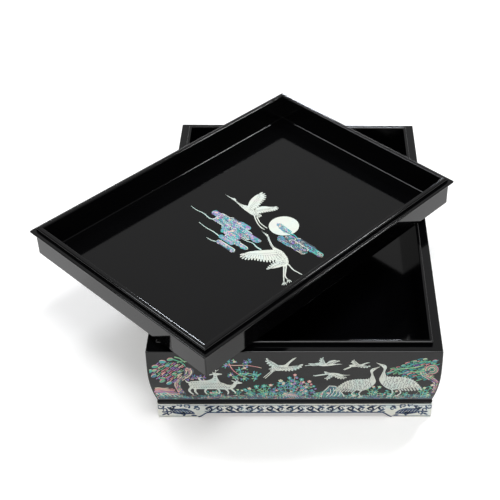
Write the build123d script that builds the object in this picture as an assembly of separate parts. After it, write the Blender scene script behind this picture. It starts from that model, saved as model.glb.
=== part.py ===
from build123d import *
import math
import os

# Document box of black lacquered wood with cut-shell inlay, and its lift-out tray.
# Millimetres. Origin at the plinth's centre on the floor, X to the right, Y to the back, Z up.
# The tray lies turned across the open box, on the lip.

# Box, outside
box_width = 265.0
box_depth = 364.5
plinth_height = 17.9
moulding_height = 6.5
body_height = 66.8

# Body panels: the side swells to a belly and draws in to its foot
belly_height = 41.6
belly_bulge = 0.4
body_foot_inset = 4.6
rim_width = 8.8
rim_rounding = 0.8

# Liner boards inside the panels, whose upper edge is the lip
liner_thickness = 3.1
lip_height = 3.9
lip_rounding = 0.7

# Plinth
plinth_inset = 4.5
facing_thickness = 0.8
rail_thickness = 9.0
foot_length = 37.0
foot_curve_length = 10.0
apron_lift = 5.8
foot_rounding = 1.5
block_leg = 20.0
block_lift = 3.0

# Moulding and bottom board
moulding_depth = 16.0
moulding_relief = 1.2
bottom_thickness = 6.0

# Tray
tray_clearance = 0.7
tray_height = 31.1
tray_wall_thickness = 5.9
tray_edge_rounding = 0.9
tray_rim_step = 3.7
tray_rim_thickness = 2.0
tray_rim_rounding = 0.8
tray_rim_seat = 1.0
tray_floor_thickness = 2.0
tray_floor_rebate = 3.0
tray_cove = 1.0
tray_cove_toe = 0.2

# Where the tray lies in this pose
tray_shift_x = -46.8
tray_shift_y = -9.6
tray_turn = -43.25

# Shell inlay: plates glued on the boards. The lacquer built up level with them isn't drawn.
shell_thickness = 0.3
leg_width = 0.9
deer_leg_width = 1.35
twig_width = 1.2
tray_leg_width = 1.6
cuts_per_span = 2
cuts_round_a_disc = 12
ground_margin = 1.0
ground_height = 6.0
ground_wave = 2.0
ground_wave_length = 36.0
panel_end_margin = 1.8

# How far a cutting tool runs past the piece that it cuts
overrun = 1.0

# Worked out from the above
body_foot = plinth_height + moulding_height
rim_level = body_foot + body_height
lip_level = rim_level + lip_height
board_top = body_foot + bottom_thickness
lip_outer_width = box_width - 2 * rim_width
lip_outer_depth = box_depth - 2 * rim_width
tray_wall_inset = liner_thickness + tray_clearance
tray_wall_inner = tray_wall_inset + tray_wall_thickness
tray_rim_top = tray_height - tray_rim_step
tray_rim_underside = tray_rim_top - tray_rim_thickness

SIDES = {"front": 0, "right": 90, "back": 180, "left": 270}


def side_size(side, width, depth):
    """Length along a side, and the distance across to the opposite one."""
    if side in ("front", "back"):
        return width, depth
    return depth, width


def saw_cut(run):
    """Points of a smooth line through a run's points, as short straight cuts of the shell saw."""
    if len(run) == 2:
        return [run[0]]
    padded = [run[0], *run, run[-1]]
    points = []
    for before, start, end, after in zip(padded, padded[1:], padded[2:], padded[3:]):
        for step in range(cuts_per_span):
            t = step / cuts_per_span
            point = []
            for p0, p1, p2, p3 in zip(before, start, end, after):
                straight = 2 * p1 + (p2 - p0) * t
                bend = (2 * p0 - 5 * p1 + 4 * p2 - p3) * t**2 + (3 * (p1 - p2) + p3 - p0) * t**3
                point.append((straight + bend) / 2)
            points.append(tuple(point))
    return points


def joined(*runs):
    """Face inside a closed line of runs: two points make a line, more make a smooth curve."""
    points = []
    for run in runs:
        points.extend(saw_cut(run))
    return make_face(Polyline(*points, close=True))


def disc(long_radius, short_radius):
    """Round or oval piece, cut with short straight cuts."""
    points = []
    for i in range(cuts_round_a_disc):
        angle = 2 * math.pi * i / cuts_round_a_disc
        points.append((long_radius * math.cos(angle), short_radius * math.sin(angle)))
    return make_face(Polyline(*points, close=True))


def strip(points, width):
    """Thin band of even width along straight runs."""
    band = Sketch()
    for start, end in zip(points, points[1:]):
        length = math.dist(start, end)
        angle = math.degrees(math.atan2(end[1] - start[1], end[0] - start[0]))
        middle = ((start[0] + end[0]) / 2, (start[1] + end[1]) / 2)
        band += Pos(*middle) * Rot(0, 0, angle) * Rectangle(length + width / 2, width)
    return band


def rounded(face, corners, radius):
    """Round the corners of a flat face that lie nearest to the given points."""
    chosen = []
    for corner in corners:
        target = Vector(*corner)
        chosen.append(min(face.vertices(), key=lambda v: (Vector(v) - target).length))
    return fillet(chosen, radius)


def mitre_wedge(run, across, low, high, reach):
    """Space of the front side between its two mitres, from outside it to a given reach inside."""
    near = -across / 2
    outline = Polyline(
        (-run / 2 - reach, near - reach),
        (run / 2 + reach, near - reach),
        (run / 2 - reach, near + reach),
        (-run / 2 + reach, near + reach),
        close=True,
    )
    return extrude(Pos(0, 0, low - overrun) * make_face(outline), high - low + 2 * overrun, dir=(0, 0, 1))


def mitred(section, side, width, depth):
    """Board of a given section, mitred at both ends. The section's X is the inset from the outer line."""
    run, across = side_size(side, width, depth)
    plane = Plane(origin=(-run, -across / 2, 0), x_dir=(0, 1, 0), z_dir=(1, 0, 0))
    bar = extrude(plane * section, 2 * run, dir=(1, 0, 0))
    box = bar.bounding_box()
    wedge = mitre_wedge(run, across, box.min.Z, box.max.Z, box.max.Y + across / 2 + overrun)
    return Rot(0, 0, SIDES[side]) * (bar & wedge)


def mitred_plate(elevation, side, width, depth, inset_from, inset_to):
    """Board cut to an elevation, between two insets, mitred at both ends."""
    run, across = side_size(side, width, depth)
    plane = Plane(origin=(0, -across / 2 + inset_from, 0), x_dir=(1, 0, 0), z_dir=(0, -1, 0))
    plate = extrude(plane * elevation, inset_to - inset_from, dir=(0, 1, 0))
    box = plate.bounding_box()
    wedge = mitre_wedge(run, across, box.min.Z, box.max.Z, inset_to + overrun)
    return Rot(0, 0, SIDES[side]) * (plate & wedge)


# Outline of the body's side


def belly_radii():
    """Radii of the arc below the belly and of the flatter one above it, tangent to each other."""
    drop = body_foot_inset + belly_bulge
    lower = (drop**2 + belly_height**2) / (2 * drop)
    above = body_height - belly_height
    upper = (belly_bulge**2 + above**2) / (2 * belly_bulge)
    return lower, upper


def side_inset(level, sunk=0.0):
    """Inset of the body's side at a level above the floor, or of a layer sunk under it, or proud if negative."""
    lower, upper = belly_radii()
    radius = lower if level < body_foot + belly_height else upper
    rise = level - body_foot - belly_height
    return radius - belly_bulge - math.sqrt((radius - sunk) ** 2 - rise**2)


def side_curve(sunk=0.0):
    """The two arcs of the body's side, from the foot up to the rim."""
    belly = body_foot + belly_height
    low = ThreePointArc(
        (side_inset(body_foot, sunk), body_foot),
        (side_inset((body_foot + belly) / 2, sunk), (body_foot + belly) / 2),
        (sunk - belly_bulge, belly),
    )
    high = ThreePointArc(
        (sunk - belly_bulge, belly),
        (side_inset((belly + rim_level) / 2, sunk), (belly + rim_level) / 2),
        (side_inset(rim_level, sunk), rim_level),
    )
    return low, high


# Plinth, moulding and bottom board


def plinth_elevation(run):
    """Rail seen from outside: bracket feet, ogee curves and a raised apron."""
    half = run / 2 - plinth_inset
    foot = half - foot_length
    mid = foot - foot_curve_length / 2
    apron = foot - foot_curve_length
    face = make_face(
        [
            Line((-half, 0), (-foot, 0)),
            TangentArc((-foot, 0), (-mid, apron_lift / 2), tangent=(1, 0)),
            TangentArc((-apron, apron_lift), (-mid, apron_lift / 2), tangent=(-1, 0)),
            Line((-apron, apron_lift), (apron, apron_lift)),
            TangentArc((apron, apron_lift), (mid, apron_lift / 2), tangent=(1, 0)),
            TangentArc((foot, 0), (mid, apron_lift / 2), tangent=(-1, 0)),
            Line((foot, 0), (half, 0)),
            Line((half, 0), (half, plinth_height)),
            Line((half, plinth_height), (-half, plinth_height)),
            Line((-half, plinth_height), (-half, 0)),
        ]
    )
    return rounded(face, [(-half, 0), (half, 0)], foot_rounding)


def plinth_parts():
    parts = {}
    back_of_facing = plinth_inset + facing_thickness
    for side in SIDES:
        outline = plinth_elevation(side_size(side, box_width, box_depth)[0])
        parts[f"plinth_rail_{side}"] = mitred_plate(
            outline, side, box_width, box_depth, back_of_facing, back_of_facing + rail_thickness
        )
        parts[f"plinth_shell_facing_{side}"] = mitred_plate(
            outline, side, box_width, box_depth, plinth_inset, back_of_facing
        )
    inner = back_of_facing + rail_thickness
    corner_x = box_width / 2 - inner
    corner_y = box_depth / 2 - inner
    blocks = []
    for sx in (-1, 1):
        for sy in (-1, 1):
            outline = Polyline(
                (sx * corner_x, sy * corner_y),
                (sx * (corner_x - block_leg), sy * corner_y),
                (sx * corner_x, sy * (corner_y - block_leg)),
                close=True,
            )
            foot = Pos(0, 0, block_lift) * make_face(outline)
            blocks.append(extrude(foot, plinth_height - block_lift, dir=(0, 0, 1)))
    parts["plinth_glue_blocks"] = Compound(children=blocks)
    return parts


def moulding_parts():
    edge = plinth_inset + moulding_relief
    section = make_face(
        [
            ThreePointArc(
                (edge, plinth_height),
                (plinth_inset, plinth_height + moulding_height / 2),
                (edge, body_foot),
            ),
            Line((edge, body_foot), (plinth_inset + moulding_depth, body_foot)),
            Line(
                (plinth_inset + moulding_depth, body_foot),
                (plinth_inset + moulding_depth, plinth_height),
            ),
            Line((plinth_inset + moulding_depth, plinth_height), (edge, plinth_height)),
        ]
    )
    return {f"moulding_{side}": mitred(section, side, box_width, box_depth) for side in SIDES}


def bottom_board():
    board = Box(lip_outer_width, lip_outer_depth, bottom_thickness)
    return Pos(0, 0, body_foot + bottom_thickness / 2) * board


# Body panels and liner


def body_panel_section():
    low, high = side_curve()
    face = make_face(
        [
            low,
            high,
            Line((0, rim_level), (rim_width, rim_level)),
            Line((rim_width, rim_level), (rim_width, body_foot)),
            Line((rim_width, body_foot), (body_foot_inset, body_foot)),
        ]
    )
    return rounded(face, [(0, rim_level)], rim_rounding)


def shell_layer_section():
    """Layer on the side's surface that the shell plates are cut from."""
    low, high = side_curve()
    low_face, high_face = side_curve(-shell_thickness)
    return make_face(
        [
            low,
            high,
            Line(high @ 1, high_face @ 1),
            high_face,
            low_face,
            Line(low_face @ 0, low @ 0),
        ]
    )


def liner_section():
    inner = rim_width + liner_thickness
    face = make_face(
        Polyline(
            (rim_width, board_top),
            (inner, board_top),
            (inner, lip_level),
            (rim_width, lip_level),
            close=True,
        )
    )
    return rounded(face, [(rim_width, lip_level), (inner, lip_level)], lip_rounding)


# Inlay motifs, each drawn from its own foot or middle


def standing_crane():
    """Crane on two legs, looking right, its feet at the origin."""
    body = joined(
        [(15.2, 44.2), (9.6, 42.3), (5.4, 38.4), (6.7, 33.5), (6.4, 28.6), (-5.0, 27.2), (-13.0, 25.2),
         (-19.0, 19.6), (-25.0, 9.0)],
        [(-25.0, 9.0), (-16.0, 9.6), (-8.0, 8.6), (0.0, 10.2), (5.4, 13.6), (10.0, 19.0), (12.0, 25.0),
         (10.4, 31.0), (8.8, 36.4), (10.8, 40.2), (15.2, 44.2)],
    )
    near_leg = strip([(1.0, 12.0), (-1.6, 6.4), (0.4, 0.5)], leg_width)
    far_leg = strip([(-6.0, 11.0), (-8.4, 6.0), (-6.0, 0.5)], leg_width)
    return body + near_leg + far_leg


def rising_crane():
    """Crane flying up to the right with both wings spread, its body at the origin."""
    body = joined(
        [(15.6, 12.4), (11.6, 10.4), (8.0, 6.6), (4.6, 3.0), (-1.0, 2.4), (-7.6, -1.0)],
        [(-7.6, -1.0), (-3.0, -4.2), (3.0, -3.6), (6.6, -0.4), (9.6, 5.2), (12.4, 8.8), (15.6, 12.4)],
    )
    far_wing = joined(
        [(1.0, 0.0), (-5.0, 6.0), (-11.2, 10.6)],
        [(-11.2, 10.6), (-11.4, 7.2), (-9.0, 2.8), (-4.0, -1.4)],
        [(-4.0, -1.4), (1.0, 0.0)],
    )
    near_wing = joined(
        [(0.0, 1.0), (9.0, 1.0), (20.4, 3.0)],
        [(20.4, 3.0), (19.4, 0.0), (14.0, -3.6), (7.0, -4.8), (0.0, -3.0)],
        [(0.0, -3.0), (0.0, 1.0)],
    )
    legs = strip([(-4.0, -2.6), (-14.0, -13.8)], leg_width)
    return body + far_wing + near_wing + legs


def gliding_crane():
    """Crane heading right with its wings raised, its body at the origin."""
    body = joined(
        [(14.8, 0.7), (8.0, 1.2), (2.0, 1.4), (-5.0, 2.2), (-9.6, 1.6)],
        [(-9.6, 1.6), (-7.0, -0.6), (-2.0, -1.7), (5.0, -1.0), (10.0, 0.0), (14.8, 0.7)],
    )
    far_wing = joined(
        [(-4.8, 1.0), (-5.6, 6.0), (-3.0, 9.0)],
        [(-3.0, 9.0), (-1.4, 5.0), (0.4, 0.0)],
        [(0.4, 0.0), (-4.8, 1.0)],
    )
    near_wing = joined(
        [(0.2, 1.2), (6.0, 5.4), (12.0, 4.8)],
        [(12.0, 4.8), (8.6, 2.6), (4.0, 0.2)],
        [(4.0, 0.2), (0.2, 1.2)],
    )
    legs = strip([(-8.0, 0.8), (-18.6, -0.4)], leg_width)
    return body + far_wing + near_wing + legs


def beating_crane():
    """Crane heading right with its wings beating down, its body at the origin."""
    body = joined(
        [(15.3, -0.5), (9.0, -0.1), (4.0, 1.6), (-1.0, 2.3), (-8.2, 2.8)],
        [(-8.2, 2.8), (-6.0, -0.2), (0.0, -2.4), (5.6, -1.9), (10.0, -1.1), (15.3, -0.5)],
    )
    near_wing = joined(
        [(-3.0, 0.0), (-5.4, -2.4), (-7.6, -5.4)],
        [(-7.6, -5.4), (-5.0, -7.0), (-1.6, -3.6), (1.0, -1.0)],
        [(1.0, -1.0), (-3.0, 0.0)],
    )
    far_wing = joined(
        [(3.0, 0.8), (8.0, -1.6), (11.8, -4.0)],
        [(11.8, -4.0), (10.0, -5.6), (5.0, -5.2), (0.0, -1.4)],
        [(0.0, -1.4), (3.0, 0.8)],
    )
    legs = strip([(-6.0, 0.9), (-18.0, -1.2)], leg_width)
    return body + near_wing + far_wing + legs


def deer():
    """Deer walking right with its head held forward, its feet at the origin."""
    body = joined(
        [(-19.4, 15.6), (-17.4, 21.0), (-9.0, 22.2), (3.0, 21.8), (11.0, 19.6), (15.6, 16.8), (19.6, 16.6),
         (22.6, 20.6), (29.6, 19.4)],
        [(29.6, 19.4), (24.6, 17.4), (22.8, 13.6), (18.4, 9.8), (11.0, 9.6), (0.0, 10.2), (-10.0, 10.2),
         (-17.0, 11.0), (-19.4, 15.6)],
    )
    legs = [
        [(-17.0, 13.0), (-20.4, 7.4), (-17.4, 0.5)],
        [(-13.0, 12.0), (-14.0, 6.4), (-12.4, 0.5)],
        [(12.0, 11.0), (14.6, 5.6), (13.2, 0.5)],
        [(17.6, 11.6), (20.8, 7.2), (21.4, 0.5)],
    ]
    figure = body
    for leg in legs:
        figure += strip(leg, deer_leg_width)
    return figure


def deer_looking_up():
    """Deer seen behind another, its neck raised and its head turned right. Feet at the origin."""
    return joined(
        [(-10.0, 14.0), (-9.0, 21.0), (-3.0, 23.2), (1.2, 26.0), (1.8, 31.0), (3.8, 33.4), (9.6, 31.8)],
        [(9.6, 31.8), (5.4, 29.2), (6.2, 24.0), (8.0, 18.0), (6.0, 12.0), (-4.0, 11.0), (-10.0, 14.0)],
    )


def pine_crown():
    """Clouds of needles that lean out to the left of the trunk."""
    crown = Sketch()
    for u, v, long_radius, short_radius in (
        (-14.0, 40.0, 9.0, 4.4),
        (-3.0, 44.0, 9.0, 4.0),
        (-20.0, 30.0, 7.6, 5.6),
        (-12.0, 21.0, 9.0, 4.6),
        (-5.0, 29.0, 5.0, 5.4),
    ):
        crown += Pos(u, v) * disc(long_radius, short_radius)
    return crown


def swept_crown():
    """Clouds of needles swept out to the left from a knot at the upper right."""
    crown = Sketch()
    for u, v, long_radius, short_radius in (
        (-20.0, 33.0, 10.0, 4.2),
        (-8.0, 38.0, 10.0, 4.8),
        (4.0, 41.0, 9.0, 5.0),
        (9.0, 33.0, 5.6, 5.6),
    ):
        crown += Pos(u, v) * disc(long_radius, short_radius)
    return crown


def pine_trunk():
    """Trunk bent like a bow, its foot at the origin."""
    return joined(
        [(-3.0, 0.0), (-5.4, 10.0), (-5.2, 16.0), (-0.4, 24.0), (5.0, 29.0), (4.0, 35.0), (8.0, 38.4)],
        [(8.0, 38.4), (13.4, 34.6), (12.4, 28.4), (7.0, 23.4), (1.2, 17.6), (0.0, 11.0), (2.6, 0.0)],
        [(2.6, 0.0), (-3.0, 0.0)],
    )


def flowering_bush():
    """Low round bush with three stems above it."""
    bush = Sketch()
    for u, v, radius in ((-13, 7, 7.0), (-3, 10, 8.5), (8, 8, 7.5), (17, 5, 5.5)):
        bush += Pos(u, v) * disc(radius, radius)
    for u, v, radius in ((-8, 20, 3.0), (4, 24, 3.4), (13, 19, 2.8)):
        bush += Pos(u, v) * disc(radius, radius)
        bush += strip([(u * 0.7, 8.0), (u, v)], leg_width)
    return bush


def blossom_branch():
    """Branch that hangs from the left, with blossoms on it."""
    branch = strip([(-13, 8), (-4, 7.4), (7, 7.4), (17, 5)], twig_width)
    branch += strip([(-9, 8), (-6, 2), (-1, -4), (6, -8)], twig_width)
    branch += strip([(-1, -4), (8, -3), (16, -5)], twig_width)
    for u, v, radius in (
        (-9, 11, 2.8), (-3, 11, 2.6), (-12, 6, 2.6), (7, 10.5, 2.8), (1, 2, 3.0), (-8, -5, 2.6),
        (6, -3, 3.4), (4, -10, 3.0), (14, -4.5, 3.4), (-2, -9.5, 2.6),
    ):
        branch += Pos(u, v) * disc(radius, radius)
    return branch


def layered_rock():
    """Rock worn into long rounded layers, its foot at the origin."""
    stones = Sketch()
    for u, v, long_radius, short_radius in ((0, 2, 11.0, 2.4), (-1, 5, 9.6, 2.4), (-2, 8, 8.0, 2.4), (-3, 10.4, 6.0, 2.0)):
        stones += Pos(u, v) * disc(long_radius, short_radius)
    return stones


def rock():
    """Leaning rock with a broken top, its foot at the origin."""
    return make_face(
        Polyline((-9, 0), (-7.5, 8), (-5, 12), (-2, 17), (3, 17), (7, 14), (9.5, 8), (12, 3), (13, 0), close=True)
    )


def ground(run):
    """Low wavy bank along the foot of a panel."""
    low = body_foot + ground_margin
    half = run / 2 - panel_end_margin
    waves = max(2, round(2 * half / ground_wave_length))
    points = []
    for i in range(2 * waves + 1):
        u = -half + i * half / waves
        swing = ground_wave if i % 2 else -ground_wave
        points.append((u, low + ground_height + swing))
    return joined(
        points,
        [points[-1], (half, low)],
        [(half, low), (-half, low)],
        [(-half, low), points[0]],
    )


# Scenes. Each entry is a motif, its place along the panel and above the panel's foot,
# its size, and 1 as drawn or -1 turned to look left.


def placed(entries):
    figures = Sketch()
    for motif, u, v, size, facing in entries:
        figure = scale(motif(), by=size)
        if facing < 0:
            figure = mirror(figure, about=Plane.YZ)
        figures += Pos(u, body_foot + v) * figure
    return figures


def front_scene(run):
    left = -run / 2
    right = run / 2
    return {
        "cranes": [
            (standing_crane, right - 71, 4.5, 1.0, 1),
            (standing_crane, right - 40.5, 4.5, 1.12, -1),
            (rising_crane, -14, 48, 1.0, 1),
            (gliding_crane, 27.5, 51.2, 1.0, 1),
            (gliding_crane, 54, 50, 0.8, 1),
            (beating_crane, 34.5, 38.4, 1.0, 1),
        ],
        "deer": [(deer, left + 55, 8, 1.0, 1), (deer_looking_up, left + 57, 8, 1.0, 1)],
        "pines": [(pine_crown, left + 27.5, 12, 1.0, 1), (swept_crown, right - 19, 12, 1.0, 1)],
        "pine_trunks": [(pine_trunk, left + 28, 10.5, 1.0, 1), (pine_trunk, right - 6, 10.5, 1.0, -1)],
        "plants": [(blossom_branch, -50, 43, 1.0, 1), (flowering_bush, -4, 7, 1.0, 1)],
        "rocks": [(layered_rock, left + 13, 8.5, 1.0, 1), (rock, right - 99, 5, 1.0, 1)],
    }


def back_scene(run):
    left = -run / 2
    right = run / 2
    return {
        "cranes": [
            (standing_crane, left + 74, 4.5, 1.05, -1),
            (standing_crane, left + 42, 4.5, 1.1, 1),
            (rising_crane, 16, 47, 1.0, -1),
            (gliding_crane, -24, 52, 0.95, -1),
            (beating_crane, -8, 36, 0.8, -1),
        ],
        "deer": [(deer, right - 55, 8, 1.0, -1), (deer_looking_up, right - 57, 8, 1.0, -1)],
        "pines": [(pine_crown, right - 27.5, 12, 1.0, -1), (swept_crown, left + 19, 12, 1.0, -1)],
        "pine_trunks": [(pine_trunk, right - 28, 10.5, 1.0, -1), (pine_trunk, left + 6, 10.5, 1.0, 1)],
        "plants": [(blossom_branch, 50, 43, 1.0, -1), (flowering_bush, 6, 7, 1.0, -1)],
        "rocks": [(layered_rock, right - 13, 8.5, 1.0, -1), (rock, left + 100, 5, 0.9, -1)],
    }


def long_scene(run):
    left = -run / 2
    right = run / 2
    return {
        "cranes": [
            (standing_crane, right - 128, 4.5, 1.05, 1),
            (standing_crane, right - 92, 4.5, 1.12, -1),
            (rising_crane, -26, 48, 1.0, 1),
            (gliding_crane, 20, 51, 1.0, 1),
            (beating_crane, 6, 37, 0.9, 1),
            (rising_crane, left + 118, 50, 0.75, 1),
            (gliding_crane, right - 56, 49, 0.9, -1),
        ],
        "deer": [
            (deer, left + 58, 8, 1.0, 1),
            (deer_looking_up, left + 60, 8, 1.0, 1),
            (deer, left + 118, 8, 0.9, -1),
        ],
        "pines": [(pine_crown, left + 27.5, 12, 1.0, 1), (swept_crown, right - 19, 12, 1.0, 1)],
        "pine_trunks": [(pine_trunk, left + 28, 10.5, 1.0, 1), (pine_trunk, right - 6, 10.5, 1.0, -1)],
        "plants": [
            (blossom_branch, left + 88, 43, 0.9, 1),
            (flowering_bush, -8, 7, 1.0, 1),
            (flowering_bush, right - 58, 6, 0.8, -1),
        ],
        "rocks": [(layered_rock, left + 13, 8.5, 1.0, 1), (rock, 30, 5, 1.0, 1)],
    }


def inlay_sketches(scene, run):
    """Flat shapes of a side's shell, each group cut back where one in front of it covers it."""
    window = Pos(0, body_foot + body_height / 2) * Rectangle(run, body_height - 2 * ground_margin)
    shapes = {}
    covered = Sketch()
    groups = [(name, placed(entries)) for name, entries in scene.items()]
    groups.append(("ground", ground(run)))
    for name, figures in groups:
        shapes[name] = (figures & window) - covered
        covered += figures
    return shapes


def panel_inlays(scene, run, across):
    """Shell plates of one side, drawn as the front's, on the panel's curved face."""
    plane = Plane(origin=(0, -across, 0), x_dir=(1, 0, 0), z_dir=(0, -1, 0))
    layer = mitred(shell_layer_section(), "front", run - 2 * panel_end_margin, across)
    plates = {}
    for name, sketch in inlay_sketches(scene(run), run).items():
        figures = extrude(plane * sketch, across, dir=(0, 1, 0))
        plates[name] = layer & figures
    return {
        "cranes": together(plates["cranes"]),
        "deer": together(plates["deer"]),
        "pines": together(plates["pines"], plates["pine_trunks"]),
        "plants": together(plates["plants"]),
        "rocks": together(plates["rocks"], plates["ground"]),
    }


def together(*shapes):
    """Group of separate solids."""
    solids = []
    for shape in shapes:
        solids.extend(shape.solids())
    return Compound(children=solids)


def body_parts():
    parts = {"bottom_board": bottom_board()}
    for side in SIDES:
        parts[f"body_panel_{side}"] = mitred(body_panel_section(), side, box_width, box_depth)
        parts[f"liner_{side}"] = mitred(liner_section(), side, box_width, box_depth)
    for scene, sides in ((front_scene, ["front"]), (back_scene, ["back"]), (long_scene, ["right", "left"])):
        run, across = side_size(sides[0], box_width, box_depth)
        inlays = panel_inlays(scene, run, across)
        for side in sides:
            for name, plates in inlays.items():
                parts[f"inlay_{name}_{side}"] = Rot(0, 0, SIDES[side]) * plates
    return parts


# Tray, drawn in its own frame: X across it, Y along it, Z from its lower edge


def tray_wall_section():
    """Wall seen end on: seat for the rim strip outside, cove and floor rebate inside."""
    seat = tray_wall_inset + tray_rim_seat
    cove_end = tray_wall_inner + tray_cove
    rebate = tray_wall_inner - tray_floor_rebate
    cove_foot = tray_floor_thickness + tray_cove_toe
    face = make_face(
        [
            Line((tray_wall_inset, 0), (tray_wall_inset, tray_rim_underside)),
            Line((tray_wall_inset, tray_rim_underside), (seat, tray_rim_underside)),
            Line((seat, tray_rim_underside), (seat, tray_height)),
            Line((seat, tray_height), (tray_wall_inner, tray_height)),
            Line((tray_wall_inner, tray_height), (tray_wall_inner, cove_foot + tray_cove)),
            RadiusArc((tray_wall_inner, cove_foot + tray_cove), (cove_end, cove_foot), tray_cove),
            Line((cove_end, cove_foot), (cove_end, tray_floor_thickness)),
            Line((cove_end, tray_floor_thickness), (rebate, tray_floor_thickness)),
            Line((rebate, tray_floor_thickness), (rebate, 0)),
            Line((rebate, 0), (tray_wall_inset, 0)),
        ]
    )
    corners = [(seat, tray_height), (tray_wall_inner, tray_height)]
    return rounded(face, corners, tray_edge_rounding)


def tray_rim_section():
    """Thin strip round the tray that hangs it on the lip."""
    seat = tray_wall_inset + tray_rim_seat
    face = make_face(
        Polyline(
            (0, tray_rim_underside),
            (seat, tray_rim_underside),
            (seat, tray_rim_top),
            (0, tray_rim_top),
            close=True,
        )
    )
    return rounded(face, [(0, tray_rim_underside), (0, tray_rim_top)], tray_rim_rounding)


def tray_flying_crane():
    """Crane flying left over the moon, wings raised."""
    body = joined(
        [(-54.7, 17.4), (-43.5, 20.0), (-38.0, 17.2), (-31.0, 17.6), (-20.0, 22.6), (-8.0, 20.0), (3.0, 15.0)],
        [(3.0, 15.0), (-8.0, 12.6), (-20.0, 12.4), (-31.0, 14.2), (-38.0, 14.6), (-44.0, 16.8), (-54.7, 17.4)],
    )
    far_wing = joined(
        [(-24.0, 17.0), (-29.0, 28.0), (-27.0, 47.5)],
        [(-27.0, 47.5), (-19.0, 36.0), (-13.0, 17.0)],
        [(-13.0, 17.0), (-24.0, 17.0)],
    )
    near_wing = joined(
        [(-20.0, 18.0), (-13.0, 30.0), (1.0, 40.4)],
        [(1.0, 40.4), (-1.0, 28.0), (-6.0, 17.0)],
        [(-6.0, 17.0), (-20.0, 18.0)],
    )
    legs = strip([(-4.0, 13.4), (15.9, 8.4)], tray_leg_width)
    return body + far_wing + near_wing + legs


def tray_dancing_crane():
    """Crane coming down under the moon, neck stretched, wings held low."""
    body = joined(
        [(14.1, 2.3), (22.0, 3.4), (27.0, -0.4), (36.0, -3.6), (46.0, -4.2), (58.0, -6.0), (68.0, -10.0), (74.0, -18.0)],
        [(74.0, -18.0), (64.0, -19.0), (54.0, -18.6), (47.0, -13.6), (37.0, -7.0), (27.0, -4.4), (21.0, -0.6),
         (14.1, 2.3)],
    )
    near_wing = joined(
        [(44.0, -8.0), (33.0, -22.0), (26.4, -40.6)],
        [(26.4, -40.6), (38.0, -41.0), (50.0, -32.0), (60.0, -14.0)],
        [(60.0, -14.0), (44.0, -8.0)],
    )
    far_wing = joined(
        [(50.0, -20.0), (52.0, -30.0), (58.6, -37.6)],
        [(58.6, -37.6), (66.0, -30.0), (70.0, -16.0)],
        [(70.0, -16.0), (50.0, -20.0)],
    )
    legs = strip([(68.0, -16.0), (80.0, -26.0), (90.6, -40.0)], tray_leg_width)
    legs += strip([(70.0, -13.0), (80.0, -16.0), (90.0, -20.0)], tray_leg_width)
    return body + near_wing + far_wing + legs


def cloud(puffs):
    """Bank of cloud from overlapping long puffs: middle, half length, half height."""
    bank = Sketch()
    for u, v, half_length, half_height in puffs:
        bank += Pos(u, v) * SlotOverall(2 * half_length, 2 * half_height)
    return bank


def tray_shapes():
    """Flat shapes of the tray's shell, each cut back where one in front of it covers it."""
    moon = Pos(25.8, 22.4) * Circle(15.3)
    figures = {
        "crane_flying": tray_flying_crane(),
        "crane_dancing": tray_dancing_crane(),
        "moon_cloud": cloud([(27, 17, 11, 1.8), (33, 13.4, 9, 1.6)]),
        "moon": moon,
        "cloud_right": cloud(
            [(48, 8, 13, 2.4), (60, 12, 15, 3.0), (71, 15.6, 13, 2.2), (66, 7.6, 12, 1.8)]
        ),
        "clouds_left": cloud(
            [
                (-24, -6.5, 11, 2.4), (-14, -10.5, 15, 3.2), (-20, -15, 22, 2.2), (-8, -19, 18, 3.0),
                (-2, -24.5, 17, 2.4), (6, -29.5, 15, 2.4), (14, -34.5, 8, 1.6), (-44, -19.4, 21, 1.1),
                (-26, -27.6, 15, 1.1), (-8, -38.4, 11, 1.1),
            ]
        ),
    }
    shapes = {}
    covered = Sketch()
    for name, figure in figures.items():
        shapes[name] = figure - covered
        covered += figure
    return shapes


def tray_parts():
    parts = {}
    wall = tray_wall_section()
    rim = tray_rim_section()
    for side in SIDES:
        parts[f"tray_wall_{side}"] = mitred(wall, side, lip_outer_width, lip_outer_depth)
        parts[f"tray_rim_{side}"] = mitred(rim, side, lip_outer_width, lip_outer_depth)
    edge = tray_wall_inner - tray_floor_rebate
    floor = Pos(0, 0, tray_floor_thickness / 2) * Box(
        lip_outer_width - 2 * edge, lip_outer_depth - 2 * edge, tray_floor_thickness
    )
    parts["tray_floor"] = floor
    for name, shape in tray_shapes().items():
        plates = extrude(Pos(0, 0, tray_floor_thickness) * shape, shell_thickness, dir=(0, 0, 1))
        parts[f"tray_inlay_{name}"] = together(plates)
    pose = Pos(tray_shift_x, tray_shift_y, lip_level) * Rot(0, 0, tray_turn)
    return {name: pose * shape for name, shape in parts.items()}


def main():
    parts = {**plinth_parts(), **moulding_parts(), **body_parts(), **tray_parts()}
    os.makedirs("parts", exist_ok=True)
    for name, shape in parts.items():
        export_step(shape, f"parts/{name}.step", write_pcurves=False)


main()
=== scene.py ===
import math
import random

import bmesh
import bpy
from mathutils import Matrix, Vector
from mathutils.geometry import tessellate_polygon


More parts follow.
